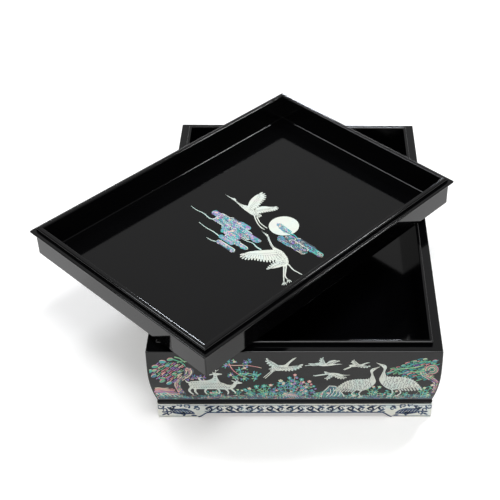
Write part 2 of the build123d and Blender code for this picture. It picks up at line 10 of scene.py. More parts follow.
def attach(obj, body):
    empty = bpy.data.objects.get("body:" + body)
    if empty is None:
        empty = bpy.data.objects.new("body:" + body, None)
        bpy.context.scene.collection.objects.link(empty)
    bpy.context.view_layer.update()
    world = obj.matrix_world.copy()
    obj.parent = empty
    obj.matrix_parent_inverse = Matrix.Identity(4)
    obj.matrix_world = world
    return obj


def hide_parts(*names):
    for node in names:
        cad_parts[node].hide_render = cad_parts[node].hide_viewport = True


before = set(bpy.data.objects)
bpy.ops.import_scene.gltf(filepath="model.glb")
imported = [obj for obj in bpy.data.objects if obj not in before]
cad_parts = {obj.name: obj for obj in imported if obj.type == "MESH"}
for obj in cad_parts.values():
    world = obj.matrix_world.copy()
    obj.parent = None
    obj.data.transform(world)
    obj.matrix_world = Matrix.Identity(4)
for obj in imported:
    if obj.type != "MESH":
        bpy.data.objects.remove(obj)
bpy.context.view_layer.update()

# Sizes of the box and its tray, in millimetres, as in the part's source
MM = 0.001
box_width = 265.0
box_depth = 364.5
plinth_height = 17.9
moulding_height = 6.5
body_height = 66.8
belly_height = 41.6
belly_bulge = 0.4
body_foot_inset = 4.6
rim_width = 8.8
rim_rounding = 1.1
liner_thickness = 3.1
lip_height = 3.9
lip_rounding = 1.0
plinth_inset = 4.5
foot_length = 37.0
foot_curve_length = 10.0
apron_lift = 5.8
moulding_depth = 16.0
moulding_relief = 1.2
bottom_thickness = 6.0
tray_clearance = 0.7
tray_height = 31.1
tray_wall_thickness = 5.9
tray_edge_rounding = 1.3
tray_rim_step = 3.7
tray_rim_thickness = 2.0
tray_rim_rounding = 0.8
tray_rim_seat = 1.0
tray_floor_thickness = 2.0
tray_floor_rebate = 3.0
tray_cove = 1.0
tray_cove_toe = 0.2
tray_shift_x = -46.8
tray_shift_y = -9.6
tray_turn = -43.25
panel_end_margin = 1.8
ground_margin = 1.0
ground_height = 6.0
ground_wave = 2.0
ground_wave_length = 36.0

body_foot = plinth_height + moulding_height
belly_level = body_foot + belly_height
rim_level = body_foot + body_height
lip_level = rim_level + lip_height
board_top = body_foot + bottom_thickness
lip_outer_width = box_width - 2 * rim_width
lip_outer_depth = box_depth - 2 * rim_width
tray_wall_inset = liner_thickness + tray_clearance
tray_wall_inner = tray_wall_inset + tray_wall_thickness
tray_rim_top = tray_height - tray_rim_step
tray_rim_underside = tray_rim_top - tray_rim_thickness
SIDES = {"front": 0, "right": 90, "back": 180, "left": 270}

# How proud of the lacquer each layer of shell and each engraved line stands
embedded = 0.06
ground_proud = 0.05
step_proud = 0.025
line_proud = 0.012


def side_size(side, width, depth):
    """Length along a side, and the distance across to the opposite one."""
    if side in ("front", "back"):
        return width, depth
    return depth, width


# Finishes


class Wire:
    """A value on its way through a finish's nodes, so that sums on it read as sums."""

    def __init__(self, finish, socket):
        self.finish = finish
        self.socket = socket

    def sum(self, operation, first, second):
        return self.finish.step("ShaderNodeMath", {"operation": operation}, {0: first, 1: second})

    def __add__(self, other):
        return self.sum("ADD", self, other)

    def __radd__(self, other):
        return self.sum("ADD", other, self)

    def __sub__(self, other):
        return self.sum("SUBTRACT", self, other)

    def __rsub__(self, other):
        return self.sum("SUBTRACT", other, self)

    def __mul__(self, other):
        return self.sum("MULTIPLY", self, other)

    def __rmul__(self, other):
        return self.sum("MULTIPLY", other, self)


# Sockets of a Mix node that mixes colours: its factor, its two colours and its result
MIX_FACTOR = 0
MIX_FIRST = 6
MIX_SECOND = 7
MIX_RESULT = 2


class Finish:
    """One material, or the studio round the object, built node by node."""

    def __init__(self, name, owner=None):
        self.material = owner or bpy.data.materials.new(name)
        self.material.use_nodes = True
        self.tree = self.material.node_tree
        self.tree.nodes.clear()

    def node(self, kind, settings, sockets):
        """New node, with its settings first and then the values or links of its sockets."""
        made = self.tree.nodes.new(kind)
        for setting, value in settings.items():
            if setting == "stops":
                self.set_stops(made.color_ramp, value)
            else:
                setattr(made, setting, value)
        for socket, value in sockets.items():
            if isinstance(value, Wire):
                self.tree.links.new(value.socket, made.inputs[socket])
            else:
                made.inputs[socket].default_value = value
        return made

    def set_stops(self, ramp, stops):
        while len(ramp.elements) < len(stops):
            ramp.elements.new(1.0)
        for element, (position, colour) in zip(ramp.elements, stops):
            element.position = position
            element.color = (*colour, 1.0)

    def step(self, kind, settings, sockets, output=0):
        """New node, and its output as a wire."""
        return Wire(self, self.node(kind, settings, sockets).outputs[output])

    def place(self):
        return self.step("ShaderNodeTexCoord", {}, {}, "Object")

    def noise(self, scale, detail=2.0, distortion=0.0, stretch=None):
        vector = self.place()
        if stretch:
            vector = self.step("ShaderNodeMapping", {}, {"Vector": vector, "Scale": stretch})
        sockets = {"Vector": vector, "Scale": scale, "Detail": detail, "Distortion": distortion}
        return self.step("ShaderNodeTexNoise", {}, sockets)

    def blend(self, factor, first, second):
        colours = [value if isinstance(value, Wire) else (*value, 1.0) for value in (first, second)]
        sockets = {MIX_FACTOR: factor, MIX_FIRST: colours[0], MIX_SECOND: colours[1]}
        return self.step("ShaderNodeMix", {"data_type": "RGBA"}, sockets, MIX_RESULT)

    def ramp(self, factor, stops):
        return self.step("ShaderNodeValToRGB", {"stops": stops}, {"Fac": factor})

    def bump(self, height, distance, strength):
        sockets = {"Height": height, "Distance": distance, "Strength": strength}
        return self.step("ShaderNodeBump", {}, sockets)

    def surface(self, **sockets):
        """Main shader and output. Sockets are named with underscores for spaces."""
        named = {name.replace("_", " "): value for name, value in sockets.items()}
        shader = self.step("ShaderNodeBsdfPrincipled", {}, named)
        self.node("ShaderNodeOutputMaterial", {}, {"Surface": shader})
        return self.material


lacquer_gloss = 0.05
lacquer_refraction = 1.43
# Lower index for the bead's lacquer, so that it reflects less than the panel's: painted shade for the shade
# that the bead lies in between the body and the plinth
moulding_shade_refraction = 1.22


def lacquer(name, colour, worn, refraction=lacquer_refraction):
    """Black lacquer polished to a deep gloss: faint brush ripple, and a little haze where it is handled."""
    finish = Finish(name)
    haze = finish.noise(14.0, detail=5.0, distortion=0.4)
    ripple = finish.noise(150.0, detail=2.0)
    base = finish.blend(haze, colour, worn)
    return finish.surface(
        Base_Color=base,
        Roughness=lacquer_gloss + haze * 0.05,
        Normal=finish.bump(ripple, distance=0.00002, strength=0.12),
        IOR=refraction,
    )


WHITE_SHELL_COLOURS = [
    (0.25, (0.56, 0.74, 0.68)),
    (0.42, (0.76, 0.82, 0.75)),
    (0.58, (0.77, 0.81, 0.70)),
    (0.76, (0.78, 0.74, 0.70)),
]


PLINTH_SHELL_COLOURS = [
    (0.26, (0.66, 0.78, 0.76)),
    (0.44, (0.88, 0.90, 0.84)),
    (0.60, (0.90, 0.89, 0.78)),
    (0.78, (0.80, 0.76, 0.80)),
]


def lined_shell(name, colours, drift_scale, distortion, line_scale, line_stretch, line_share, line_colour):
    """Pale mother-of-pearl: cream with soft green and rose, which drift across it, and fine growth lines."""
    finish = Finish(name)
    drift = finish.noise(drift_scale, detail=3.0, distortion=distortion)
    colour = finish.ramp(drift, colours)
    lines = finish.noise(line_scale, detail=3.0, distortion=0.8, stretch=(1.0, 1.0, line_stretch))
    colour = finish.blend(lines * line_share, colour, line_colour)
    return finish.surface(
        Base_Color=colour,
        Roughness=0.2 + lines * 0.12,
        Normal=finish.bump(lines, distance=0.00003, strength=0.4),
    )


# Hues of coloured shell. A plate's tone is its place on this scale, from black through green to blue
SHELL_COLOURS = [
    (0.00, (0.008, 0.022, 0.050)),
    (0.12, (0.015, 0.110, 0.230)),
    (0.25, (0.024, 0.420, 0.450)),
    (0.37, (0.040, 0.400, 0.190)),
    (0.48, (0.360, 0.600, 0.300)),
    (0.58, (0.740, 0.700, 0.500)),
    (0.68, (0.760, 0.280, 0.290)),
    (0.78, (0.540, 0.090, 0.170)),
    (0.89, (0.340, 0.150, 0.460)),
    (1.00, (0.070, 0.130, 0.480)),
]


def colour_shell_finish():
    """Abalone shell: each plate has its own hue, which drifts across it between green, blue and rose."""
    finish = Finish("colour_shell")
    hue = finish.step("ShaderNodeAttribute", {"attribute_name": "tone"}, {}, "Fac")
    drift = finish.noise(170.0, detail=3.0, distortion=1.5)
    colour = finish.ramp(hue + (drift - 0.5) * 0.34, SHELL_COLOURS)
    figure = finish.noise(420.0, detail=2.0, distortion=2.0)
    colour = finish.blend(figure * 0.14, colour, (0.72, 0.80, 0.76))
    return finish.surface(
        Base_Color=colour,
        Roughness=0.16 + figure * 0.12,
        Normal=finish.bump(figure, distance=0.00003, strength=0.4),
    )


VINE_COLOURS = [
    (0.30, (0.010, 0.022, 0.070)),
    (0.52, (0.030, 0.060, 0.140)),
    (0.68, (0.050, 0.130, 0.210)),
    (0.82, (0.140, 0.200, 0.300)),
]


def vine_finish():
    """Dark blue-grey shell of the scrolling vine on the plinth."""
    finish = Finish("vine_shell")
    drift = finish.noise(190.0, detail=3.0, distortion=1.4)
    colour = finish.ramp(drift, VINE_COLOURS)
    return finish.surface(Base_Color=colour, Roughness=0.2 + drift * 0.15)


def engraving_finish():
    """Engraved line, filled with black lacquer."""
    finish = Finish("engraving")
    drift = finish.noise(300.0)
    colour = finish.blend(drift, (0.010, 0.011, 0.014), (0.05, 0.05, 0.055))
    return finish.surface(Base_Color=colour, Roughness=0.3 + drift * 0.1)


def plinth_wood_finish():
    """Dark stained wood inside the plinth, with its grain along the boards."""
    finish = Finish("plinth_wood")
    grain = finish.noise(40.0, detail=5.0, distortion=1.2, stretch=(1.0, 1.0, 7.0))
    colour = finish.blend(grain, (0.018, 0.012, 0.009), (0.060, 0.040, 0.028))
    return finish.surface(
        Base_Color=colour,
        Roughness=0.5 + grain * 0.2,
        Normal=finish.bump(grain, distance=0.00015, strength=0.6),
    )


FINISHES = {
    "black_lacquer": lacquer("black_lacquer", (0.0010, 0.0010, 0.0013), (0.0022, 0.0022, 0.0026)),
    "inside_lacquer": lacquer("inside_lacquer", (0.0008, 0.0008, 0.0011), (0.0018, 0.0018, 0.0022)),
    "tray_lacquer": lacquer("tray_lacquer", (0.0010, 0.0010, 0.0012), (0.0022, 0.0022, 0.0025)),
    # The bead's lacquer: a darker copy of the black lacquer that reflects less, as painted shade
    "moulding_shaded_lacquer": lacquer(
        "moulding_shaded_lacquer", (0.0008, 0.0010, 0.0022), (0.0020, 0.0026, 0.0050), moulding_shade_refraction
    ),
    "plinth_wood": plinth_wood_finish(),
    "plinth_shell": lined_shell(
        "plinth_shell", PLINTH_SHELL_COLOURS, drift_scale=38.0, distortion=1.0,
        line_scale=140.0, line_stretch=5.0, line_share=0.25, line_colour=(0.62, 0.68, 0.66),
    ),
    "white_shell": lined_shell(
        "white_shell", WHITE_SHELL_COLOURS, drift_scale=45.0, distortion=1.2,
        line_scale=60.0, line_stretch=9.0, line_share=0.35, line_colour=(0.52, 0.57, 0.54),
    ),
    "colour_shell": colour_shell_finish(),
    "vine_shell": vine_finish(),
    "engraving": engraving_finish(),
}


# Lacquered boards: a section, carried along a side between its mitres

rounding_steps = 6
holding_edge = 0.05
corner_steps = 5
sharp_corner = 0.04
crease_angle = math.radians(32)
liner_corner = 0.8
moulding_corner = 0.8
moulding_steps = 14
tray_wall_corner = 1.2
tray_edge_corner = 0.6
tray_foot_rounding = 0.3
tray_rim_corner = 1.6
cove_steps = 6


def rounded_section(points):
    """Section outline from points of inset, level, rounding and the upright corner's radius there."""
    outline = []
    for before, here, after in zip(points[-1:] + points[:-1], points, points[1:] + points[:1]):
        inset, level, rounding, corner = here
        if not rounding:
            outline.append((inset, level, corner))
            continue
        spot = Vector((inset, level))
        back = (Vector(before[:2]) - spot).normalized()
        onward = (Vector(after[:2]) - spot).normalized()
        half_angle = back.angle(onward) / 2
        reach = rounding / math.tan(half_angle)
        middle = spot + (back + onward).normalized() * rounding / math.sin(half_angle)
        first = spot + back * reach - middle
        last = spot + onward * reach - middle
        held = spot + back * (reach + holding_edge)
        outline.append((held.x, held.y, corner))
        swing = first.angle_signed(last)
        for step in range(rounding_steps + 1):
            turned = Matrix.Rotation(-swing * step / rounding_steps, 2) @ first
            outline.append((middle.x + turned.x, middle.y + turned.y, corner))
        held = spot + onward * (reach + holding_edge)
        outline.append((held.x, held.y, corner))
    return outline


def corner_columns():
    """Steps from a mitre round the upright corner to the flat face: along, across, and past the rounding."""
    columns = []
    for step in range(corner_steps):
        angle = math.radians(45) * (1 - step / (corner_steps - 1))
        columns.append((1 - math.sin(angle), 1 - math.cos(angle), 0.0))
    columns.append((1.0, 0.0, 2 * holding_edge))
    return columns


def side_matrix(side):
    """Turn from the front to a side."""
    return Matrix.Rotation(math.radians(SIDES[side]), 4, "Z")


box_pose = Matrix.Identity(4)
tray_pose = Matrix.Translation((tray_shift_x, tray_shift_y, lip_level)) @ Matrix.Rotation(
    math.radians(tray_turn), 4, "Z"
)


def mesh_object(name, vertices, faces, place, materials):
    """Object whose place is in its mesh, which is in metres."""
    mesh = bpy.data.meshes.new(name)
    mesh.from_pydata([tuple(place @ Vector(v) * MM) for v in vertices], [], faces)
    for material in materials:
        mesh.materials.append(FINISHES[material])
    made = bpy.data.objects.new(name, mesh)
    bpy.context.scene.collection.objects.link(made)
    return made


def board(name, node, section, side, width, depth, body, slot, finish):
    """Board of a given section along one side, mitred at both ends, that stands for a node."""
    run, across = side_size(side, width, depth)
    columns = corner_columns()
    vertices = []
    for inset, level, corner in section:
        row = []
        for along, inwards, past in columns:
            x = -run / 2 + inset + corner * along + past
            y = -across / 2 + inset + corner * inwards
            row.append((x, y, level))
        vertices.extend(row)
        vertices.extend((-x, y, z) for x, y, z in reversed(row))
    wide = 2 * len(columns)
    count = len(section)
    faces = []
    for i in range(count):
        above = (i + 1) % count
        for j in range(wide - 1):
            faces.append((i * wide + j, above * wide + j, above * wide + j + 1, i * wide + j + 1))
    cap = tessellate_polygon([[Vector((inset, level, 0)) for inset, level, corner in section]])
    for a, b, c in cap:
        faces.append((a * wide, b * wide, c * wide))
        faces.append((a * wide + wide - 1, b * wide + wide - 1, c * wide + wide - 1))
    pose = tray_pose if body == "tray" else box_pose
    made = mesh_object(name, vertices, faces, pose @ side_matrix(side), [finish])
    work = bmesh.new()
    work.from_mesh(made.data)
    bmesh.ops.recalc_face_normals(work, faces=work.faces[:])
    work.to_mesh(made.data)
    work.free()
    made.data.shade_smooth()
    made.data.set_sharp_from_angle(angle=crease_angle)
    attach(made, body)
    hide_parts(node)


def belly_radii():
    """Radii of the arc below the belly and of the flatter one above it."""
    drop = body_foot_inset + belly_bulge
    lower = (drop**2 + belly_height**2) / (2 * drop)
    above = body_height - belly_height
    upper = (belly_bulge**2 + above**2) / (2 * belly_bulge)
    return lower, upper


def side_spot(level, proud=0.0):
    """Inset and level of a point on the body's side, or standing proud of it."""
    lower, upper = belly_radii()
    radius = lower if level < belly_level else upper
    angle = math.asin((level - belly_level) / radius)
    inset = radius - belly_bulge - (radius + proud) * math.cos(angle)
    return inset, belly_level + (radius + proud) * math.sin(angle)


panel_corner = 1.1
panel_steps = 26


def panel_section():
    """Bowed outer face, flat inner face, rounded at the rim."""
    points = []
    for i in range(panel_steps):
        inset, level = side_spot(body_foot + body_height * i / panel_steps)
        points.append((inset, level, 0, panel_corner))
    points.append((0, rim_level, rim_rounding, panel_corner))
    points.append((rim_width, rim_level, 0, sharp_corner))
    points.append((rim_width, body_foot, 0, sharp_corner))
    return rounded_section(points)


def liner_section():
    """Thin board inside the panel, whose rounded top stands up as the lip."""
    inner = rim_width + liner_thickness
    return rounded_section(
        [
            (rim_width, board_top, 0, sharp_corner),
            (rim_width, lip_level, lip_rounding, liner_corner),
            (inner, lip_level, lip_rounding, sharp_corner),
            (inner, board_top, 0, sharp_corner),
        ]
    )


def moulding_section():
    """Bead whose face is an arc, and whose ends on that arc meet the plinth and the body."""
    half_height = moulding_height / 2
    edge = plinth_inset + moulding_relief
    back = plinth_inset + moulding_depth
    bow = (moulding_relief**2 + half_height**2) / (2 * moulding_relief)
    reach = math.asin(half_height / bow)
    points = [(edge, plinth_height, 0, moulding_corner)]
    for i in range(1, moulding_steps):
        angle = reach * (2 * i / moulding_steps - 1)
        inset = plinth_inset + bow * (1 - math.cos(angle))
        level = plinth_height + half_height + bow * math.sin(angle)
        points.append((inset, level, 0, moulding_corner))
    points.append((edge, body_foot, 0, moulding_corner))
    points.append((back, body_foot, 0, sharp_corner))
    points.append((back, plinth_height, 0, sharp_corner))
    return rounded_section(points)


def tray_wall_section():
    """Wall with a step for the rim strip, a rebate for the floor and a cove over it."""
    seat = tray_wall_inset + tray_rim_seat
    cove_end = tray_wall_inner + tray_cove
    rebate = tray_wall_inner - tray_floor_rebate
    cove_foot = tray_floor_thickness + tray_cove_toe
    points = [
        (tray_wall_inset, 0, tray_foot_rounding, tray_wall_corner),
        (tray_wall_inset, tray_rim_underside, 0, tray_wall_corner),
        (seat, tray_rim_underside, 0, sharp_corner),
        (seat, tray_height, tray_edge_rounding, tray_edge_corner),
        (tray_wall_inner, tray_height, tray_edge_rounding, sharp_corner),
    ]
    for i in range(cove_steps + 1):
        angle = math.radians(90) * i / cove_steps
        inset = cove_end - tray_cove * math.cos(angle)
        level = cove_foot + tray_cove - tray_cove * math.sin(angle)
        points.append((inset, level, 0, sharp_corner))
    points.append((cove_end, tray_floor_thickness, 0, sharp_corner))
    points.append((rebate, tray_floor_thickness, 0, sharp_corner))
    points.append((rebate, 0, 0, sharp_corner))
    return rounded_section(points)


def tray_rim_section():
    """Strip round the top of the tray's walls, rounded at its outer edges."""
    seat = tray_wall_inset + tray_rim_seat
    return rounded_section(
        [
            (0, tray_rim_underside, tray_rim_rounding, tray_rim_corner),
            (0, tray_rim_top, tray_rim_rounding, tray_rim_corner),
            (seat, tray_rim_top, 0, sharp_corner),
            (seat, tray_rim_underside, 0, sharp_corner),
        ]
    )


def make_boards():
    """Boards of the four sides: name, node, section, slot and finish, first the box's and then the tray's."""
    box_boards = (
        ("panel", "body_panel", panel_section(), "black_lacquer", "black_lacquer"),
        ("lining", "liner", liner_section(), "inside_lacquer", "inside_lacquer"),
        # The bead takes the darker lacquer, which is painted shade
        ("bead", "moulding", moulding_section(), "black_lacquer", "moulding_shaded_lacquer"),
    )
    tray_boards = (
        ("tray_board", "tray_wall", tray_wall_section(), "tray_lacquer", "tray_lacquer"),
        ("tray_hanging_strip", "tray_rim", tray_rim_section(), "tray_lacquer", "tray_lacquer"),
    )
    for side in SIDES:
        for boards, width, depth, body in (
            (box_boards, box_width, box_depth, "box"),
            (tray_boards, lip_outer_width, lip_outer_depth, "tray"),
        ):
            for name, node, section, slot, finish in boards:
                board(f"{name}_{side}", f"{node}_{side}", section, side, width, depth, body, slot, finish)


def dress_kept_nodes():
    """The CAD nodes whose shape stays get the finish of their slot."""
    for name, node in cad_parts.items():
        if name.startswith("plinth_shell_facing"):
            finish = "plinth_shell"
        elif name.startswith(("plinth_rail", "plinth_glue")):
            finish = "plinth_wood"
        elif name == "bottom_board":
            finish = "inside_lacquer"
        elif name == "tray_floor":
            finish = "tray_lacquer"
        elif "inlay_crane" in name or "deer" in name or name.endswith("moon"):
            finish = "white_shell"
        else:
            finish = "colour_shell"
        node.data.materials.clear()
        node.data.materials.append(FINISHES[finish])


# Drawing in shell: flat outlines and strokes


def smooth(points, steps=4):
    """Smooth line through the given points."""
    padded = [points[0], *points, points[-1]]
    line = []
    for p0, p1, p2, p3 in zip(padded, padded[1:], padded[2:], padded[3:]):
        for step in range(steps):
            t = step / steps
            spot = []
            for a, b, c, d in zip(p0, p1, p2, p3):
                slope = c - a
                bend = 2 * a - 5 * b + 4 * c - d
                twist = 3 * (b - c) + d - a
                spot.append(0.5 * (2 * b + slope * t + bend * t**2 + twist * t**3))
            line.append(tuple(spot))
    line.append(tuple(points[-1]))
    return line


def smooth_ring(points, steps=4):
    """Smooth closed outline through the given points."""
    around = [points[-1], *points, points[0], points[1]]
    return smooth(around, steps)[steps : steps * (len(points) + 1)]


def outline_of(*runs):
    """Outline of smooth runs, each from the end of the one before, with sharp corners between them."""
    outline = []
    corner = runs[-1][-1]
    for run in runs:
        outline += smooth([corner, *run])[:-1]
        corner = run[-1]
    return outline


def between(start, end, share):
    """Spot at a share of the way from start to end."""
    return tuple(a + (b - a) * share for a, b in zip(start, end))


def polar(middle, radius, degrees):
    """Spot at a distance and an angle from a middle."""
    angle = math.radians(degrees)
    return middle[0] + radius * math.cos(angle), middle[1] + radius * math.sin(angle)


def turned(middle, x, y, tilt):
    """Spot at (x, y) from a middle, once swung round it."""
    across = middle[0] + x * math.cos(tilt) - y * math.sin(tilt)
    up = middle[1] + x * math.sin(tilt) + y * math.cos(tilt)
    return across, up


def oval(middle, long_radius, short_radius, degrees, count):
    """Oval with its long axis turned from level."""
    tilt = math.radians(degrees)
    points = []
    for i in range(count):
        angle = 2 * math.pi * i / count
        points.append(turned(middle, long_radius * math.cos(angle), short_radius * math.sin(angle), tilt))
    return points


LEAF = [(0.0, 0.0), (0.2, 0.34), (0.5, 0.5), (0.8, 0.32), (1.0, 0.0), (0.8, -0.32), (0.5, -0.5), (0.2, -0.34)]
FEATHER = [
    (0.0, 0.3), (0.5, 0.46), (0.82, 0.46), (0.97, 0.2), (1.0, 0.0),
    (0.94, -0.26), (0.8, -0.46), (0.5, -0.46), (0.0, -0.3),
]


def shaped(pattern, start, end, width):
    """Leaf or feather pattern, laid from start to end."""
    along = Vector(end) - Vector(start)
    across = Vector((-along.y, along.x)).normalized() * width
    return [tuple(Vector(start) + along * a + across * b) for a, b in pattern]


def inside(spot, outline):
    """Whether a spot lies inside an outline."""
    x, y = spot
    within = False
    for (x1, y1), (x2, y2) in zip(outline, outline[1:] + outline[:1]):
        if (y1 > y) != (y2 > y) and x < (x2 - x1) * (y - y1) / (y2 - y1) + x1:
            within = not within
    return within


plain_tone = 0.5


class Cutting:
    """A figure in cut shell: flat pieces, each with its finish, its tone and its height over the lowest."""

    def __init__(self):
        self.pieces = []

    def plate(self, outline, finish, tone=plain_tone, rise=0.0):
        faces = tessellate_polygon([[Vector((u, v, 0)) for u, v in outline]])
        self.pieces.append((outline, [tuple(face) for face in faces], finish, tone, rise))

    def stroke(self, line, start_width, end_width, finish="engraving", tone=plain_tone, rise=line_proud):
        points = []
        last = len(line) - 1
        for i, spot in enumerate(line):
            ahead = Vector(line[min(i + 1, last)]) - Vector(line[max(i - 1, 0)])
            width = start_width + (end_width - start_width) * i / last
            across = Vector((-ahead.y, ahead.x)).normalized() * width / 2
            points.append(tuple(Vector(spot) + across))
            points.append(tuple(Vector(spot) - across))
        faces = [(2 * i, 2 * i + 1, 2 * i + 3, 2 * i + 2) for i in range(last)]
        self.pieces.append((points, faces, finish, tone, rise))

    def limb(self, line, start_width, end_width):
        """Leg, tail, toe or antler, in white shell under the body."""
        self.stroke(line, start_width, end_width, "white_shell", rise=0.0)

    def add(self, figure, u=0.0, v=0.0, size=1.0, facing=1, turn=0.0, lift=0.0):
        tilt = math.radians(turn)
        for points, faces, finish, tone, rise in figure.pieces:
            placed = []
            for x, y in points:
                placed.append(turned((u, v), x * (facing * size), y * size, tilt))
            self.pieces.append((placed, faces, finish, tone, rise + lift))


def signed_area(points, face):
    """Area of a flat face, negative if it runs clockwise."""
    total = 0.0
    for i, j in zip(face, face[1:] + face[:1]):
        total += points[i][0] * points[j][1] - points[j][0] * points[i][1]
    return total / 2


cut_band = 3.0
cut_reach = 1e-5
least_area = 1e-6


def flat_sheet(figure, window, curved):
    """A figure's pieces as one flat mesh, cut to the window, and into low bands for a curved board."""
    low_u, low_v, high_u, high_v = window
    work = bmesh.new()
    tone_layer = work.verts.layers.float.new("tone")
    rise_layer = work.verts.layers.float.new("rise")
    finishes = []
    for points, faces, finish, tone, rise in figure.pieces:
        if finish not in finishes:
            finishes.append(finish)
        corners = []
        for u, v in points:
            vertex = work.verts.new((u, v, 0))
            vertex[tone_layer] = tone
            vertex[rise_layer] = rise
            corners.append(vertex)
        for face in faces:
            area = signed_area(points, face)
            if abs(area) < least_area:
                continue
            ring = face if area > 0 else face[::-1]
            made = work.faces.new([corners[i] for i in ring])
            made.material_index = finishes.index(finish)
    cuts = [((low_u, 0, 0), (-1, 0, 0), True), ((high_u, 0, 0), (1, 0, 0), True)]
    cuts += [((0, low_v, 0), (0, -1, 0), True), ((0, high_v, 0), (0, 1, 0), True)]
    if curved:
        level = low_v + cut_band
        while level < high_v:
            cuts.append(((0, level, 0), (0, 1, 0), False))
            level += cut_band
    for spot, normal, trims in cuts:
        bmesh.ops.bisect_plane(
            work,
            geom=work.verts[:] + work.edges[:] + work.faces[:],
            dist=cut_reach,
            plane_co=spot,
            plane_no=normal,
            clear_outer=trims,
        )
    loose = [vertex for vertex in work.verts if not vertex.link_faces]
    bmesh.ops.delete(work, geom=loose, context="VERTS")
    bmesh.ops.triangulate(work, faces=work.faces[:])
    work.verts.index_update()
    vertices = [(v.co.x, v.co.y, v[rise_layer], v[tone_layer]) for v in work.verts]
    faces = []
    rims = []
    for face in work.faces:
        faces.append((tuple(v.index for v in face.verts), face.material_index))
        for loop in face.loops:
            if loop.edge.is_boundary:
                rims.append((loop.vert.index, loop.link_loop_next.vert.index, face.material_index))
    work.free()
    return vertices, faces, rims, finishes


def lay_shell(name, node, sheet, surface, place, proud, body, slot):
    """Closed thin plates from a flat sheet, laid on a surface, that stand for a node."""
    flat, faces, rims, finishes = sheet
    top = [surface(u, v, proud + rise) for u, v, rise, tone in flat]
    under = [surface(u, v, -embedded) for u, v, rise, tone in flat]
    count = len(flat)
    solid = []
    indices = []
    for (a, b, c), material in faces:
        solid.append((a, b, c))
        solid.append((c + count, b + count, a + count))
        indices.extend((material, material))
    for a, b, material in rims:
        solid.append((a, a + count, b + count, b))
        indices.append(material)
    made = mesh_object(name, top + under, solid, place, finishes)
    made.data.polygons.foreach_set("material_index", indices)
    tones = made.data.attributes.new("tone", "FLOAT", "POINT")
    tones.data.foreach_set("value", [tone for u, v, rise, tone in flat] * 2)
    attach(made, body)
    if node:
        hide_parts(node)


# Repeated shapes, made with Geometry Nodes


def flat_mesh_object(name, vertices, faces):
    """Object that holds a flat shape for Geometry Nodes."""
    mesh = bpy.data.meshes.new(name)
    mesh.from_pydata([(x, y, 0) for x, y in vertices], [], faces)
    made = bpy.data.objects.new(name, mesh)
    bpy.context.scene.collection.objects.link(made)
    return made


class Repeat:
    """A Geometry Nodes tree with named inputs, run once on a flat shape."""

    def __init__(self, name, inputs):
        self.tree = bpy.data.node_groups.new(name, "GeometryNodeTree")
        self.tree.interface.new_socket("Geometry", in_out="INPUT", socket_type="NodeSocketGeometry")
        self.inputs = {}
        for label, kind, value in inputs:
            socket = self.tree.interface.new_socket(label, in_out="INPUT", socket_type=kind)
            self.inputs[label] = (socket.identifier, value)
        self.tree.interface.new_socket("Geometry", in_out="OUTPUT", socket_type="NodeSocketGeometry")
        self.start = self.tree.nodes.new("NodeGroupInput")

    def step(self, kind, settings, sockets, output=0):
        made = self.tree.nodes.new(kind)
        for setting, value in settings.items():
            setattr(made, setting, value)
        for socket, value in sockets.items():
            if isinstance(value, bpy.types.NodeSocket):
                self.tree.links.new(value, made.inputs[socket])
            else:
                made.inputs[socket].default_value = value
        return made.outputs[output]

    def given(self, label):
        return self.start.outputs[label]

    def finish(self, geometry, material):
        joined = self.step("GeometryNodeRealizeInstances", {}, {"Geometry": geometry})
        dressed = self.step("GeometryNodeSetMaterial", {}, {"Geometry": joined, "Material": material})
        end = self.tree.nodes.new("NodeGroupOutput")
        self.tree.links.new(dressed, end.inputs["Geometry"])

    def run(self, shape):
        """Flat points and faces of the repeated shape."""
        modifier = shape.modifiers.new("repeat", "NODES")
        modifier.node_group = self.tree
        for identifier, value in self.inputs.values():
            modifier[identifier] = value
        bpy.context.view_layer.update()
        evaluated = shape.evaluated_get(bpy.context.evaluated_depsgraph_get())
        mesh = bpy.data.meshes.new_from_object(evaluated)
        points = [(v.co.x, v.co.y) for v in mesh.vertices]
        faces = [tuple(p.vertices) for p in mesh.polygons]
        shape.modifiers.remove(modifier)
        source = shape.data
        bpy.data.objects.remove(shape)
        bpy.data.meshes.remove(source)
        bpy.data.meshes.remove(mesh)
        return points, faces


def repeated_vine(unit, count, pitch):
    """The vine's unit set end to end, every second one turned over."""
    vine = Repeat(
        "vine_border",
        [("Count", "NodeSocketInt", count), ("Pitch", "NodeSocketFloat", pitch)],
    )
    offset = vine.step("ShaderNodeCombineXYZ", {}, {"X": vine.given("Pitch")})
    line = vine.step(
        "GeometryNodeMeshLine", {"mode": "OFFSET"}, {"Count": vine.given("Count"), "Offset": offset}
    )
    index = vine.step("GeometryNodeInputIndex", {}, {})
    odd = vine.step("ShaderNodeMath", {"operation": "MODULO"}, {0: index, 1: 2.0})
    angle = vine.step("ShaderNodeMath", {"operation": "MULTIPLY"}, {0: odd, 1: math.pi})
    turn = vine.step("ShaderNodeCombineXYZ", {}, {"X": angle})
    units = vine.step(
        "GeometryNodeInstanceOnPoints",
        {},
        {"Points": line, "Instance": vine.given("Geometry"), "Rotation": turn},
    )
    vine.finish(units, FINISHES["vine_shell"])
    points = []
    faces = []
    for outline, ring, *_ in unit.pieces:
        first = len(points)
        points.extend(outline)
        faces.extend(tuple(first + i for i in face) for face in ring)
    return vine.run(flat_mesh_object("vine_unit", points, faces))


# Figures, drawn from their own foot or middle, in millimetres

# Width of an engraved line, and how high a figure's body and its wings lie over its legs and tail
engraved = 0.26
body_rise = 0.006
wing_rise = 0.004
scallop_seed = 4
scallop_length = 0.6
scallop_half_width = 0.3
SCALLOP_ARC = (-70, -25, 25, 70)


def engraved_line(figure, line, rise, start_width=engraved, end_width=engraved):
    """Engraved line across a piece that lies at a given height."""
    figure.stroke(line, start_width, end_width, rise=rise + line_proud)


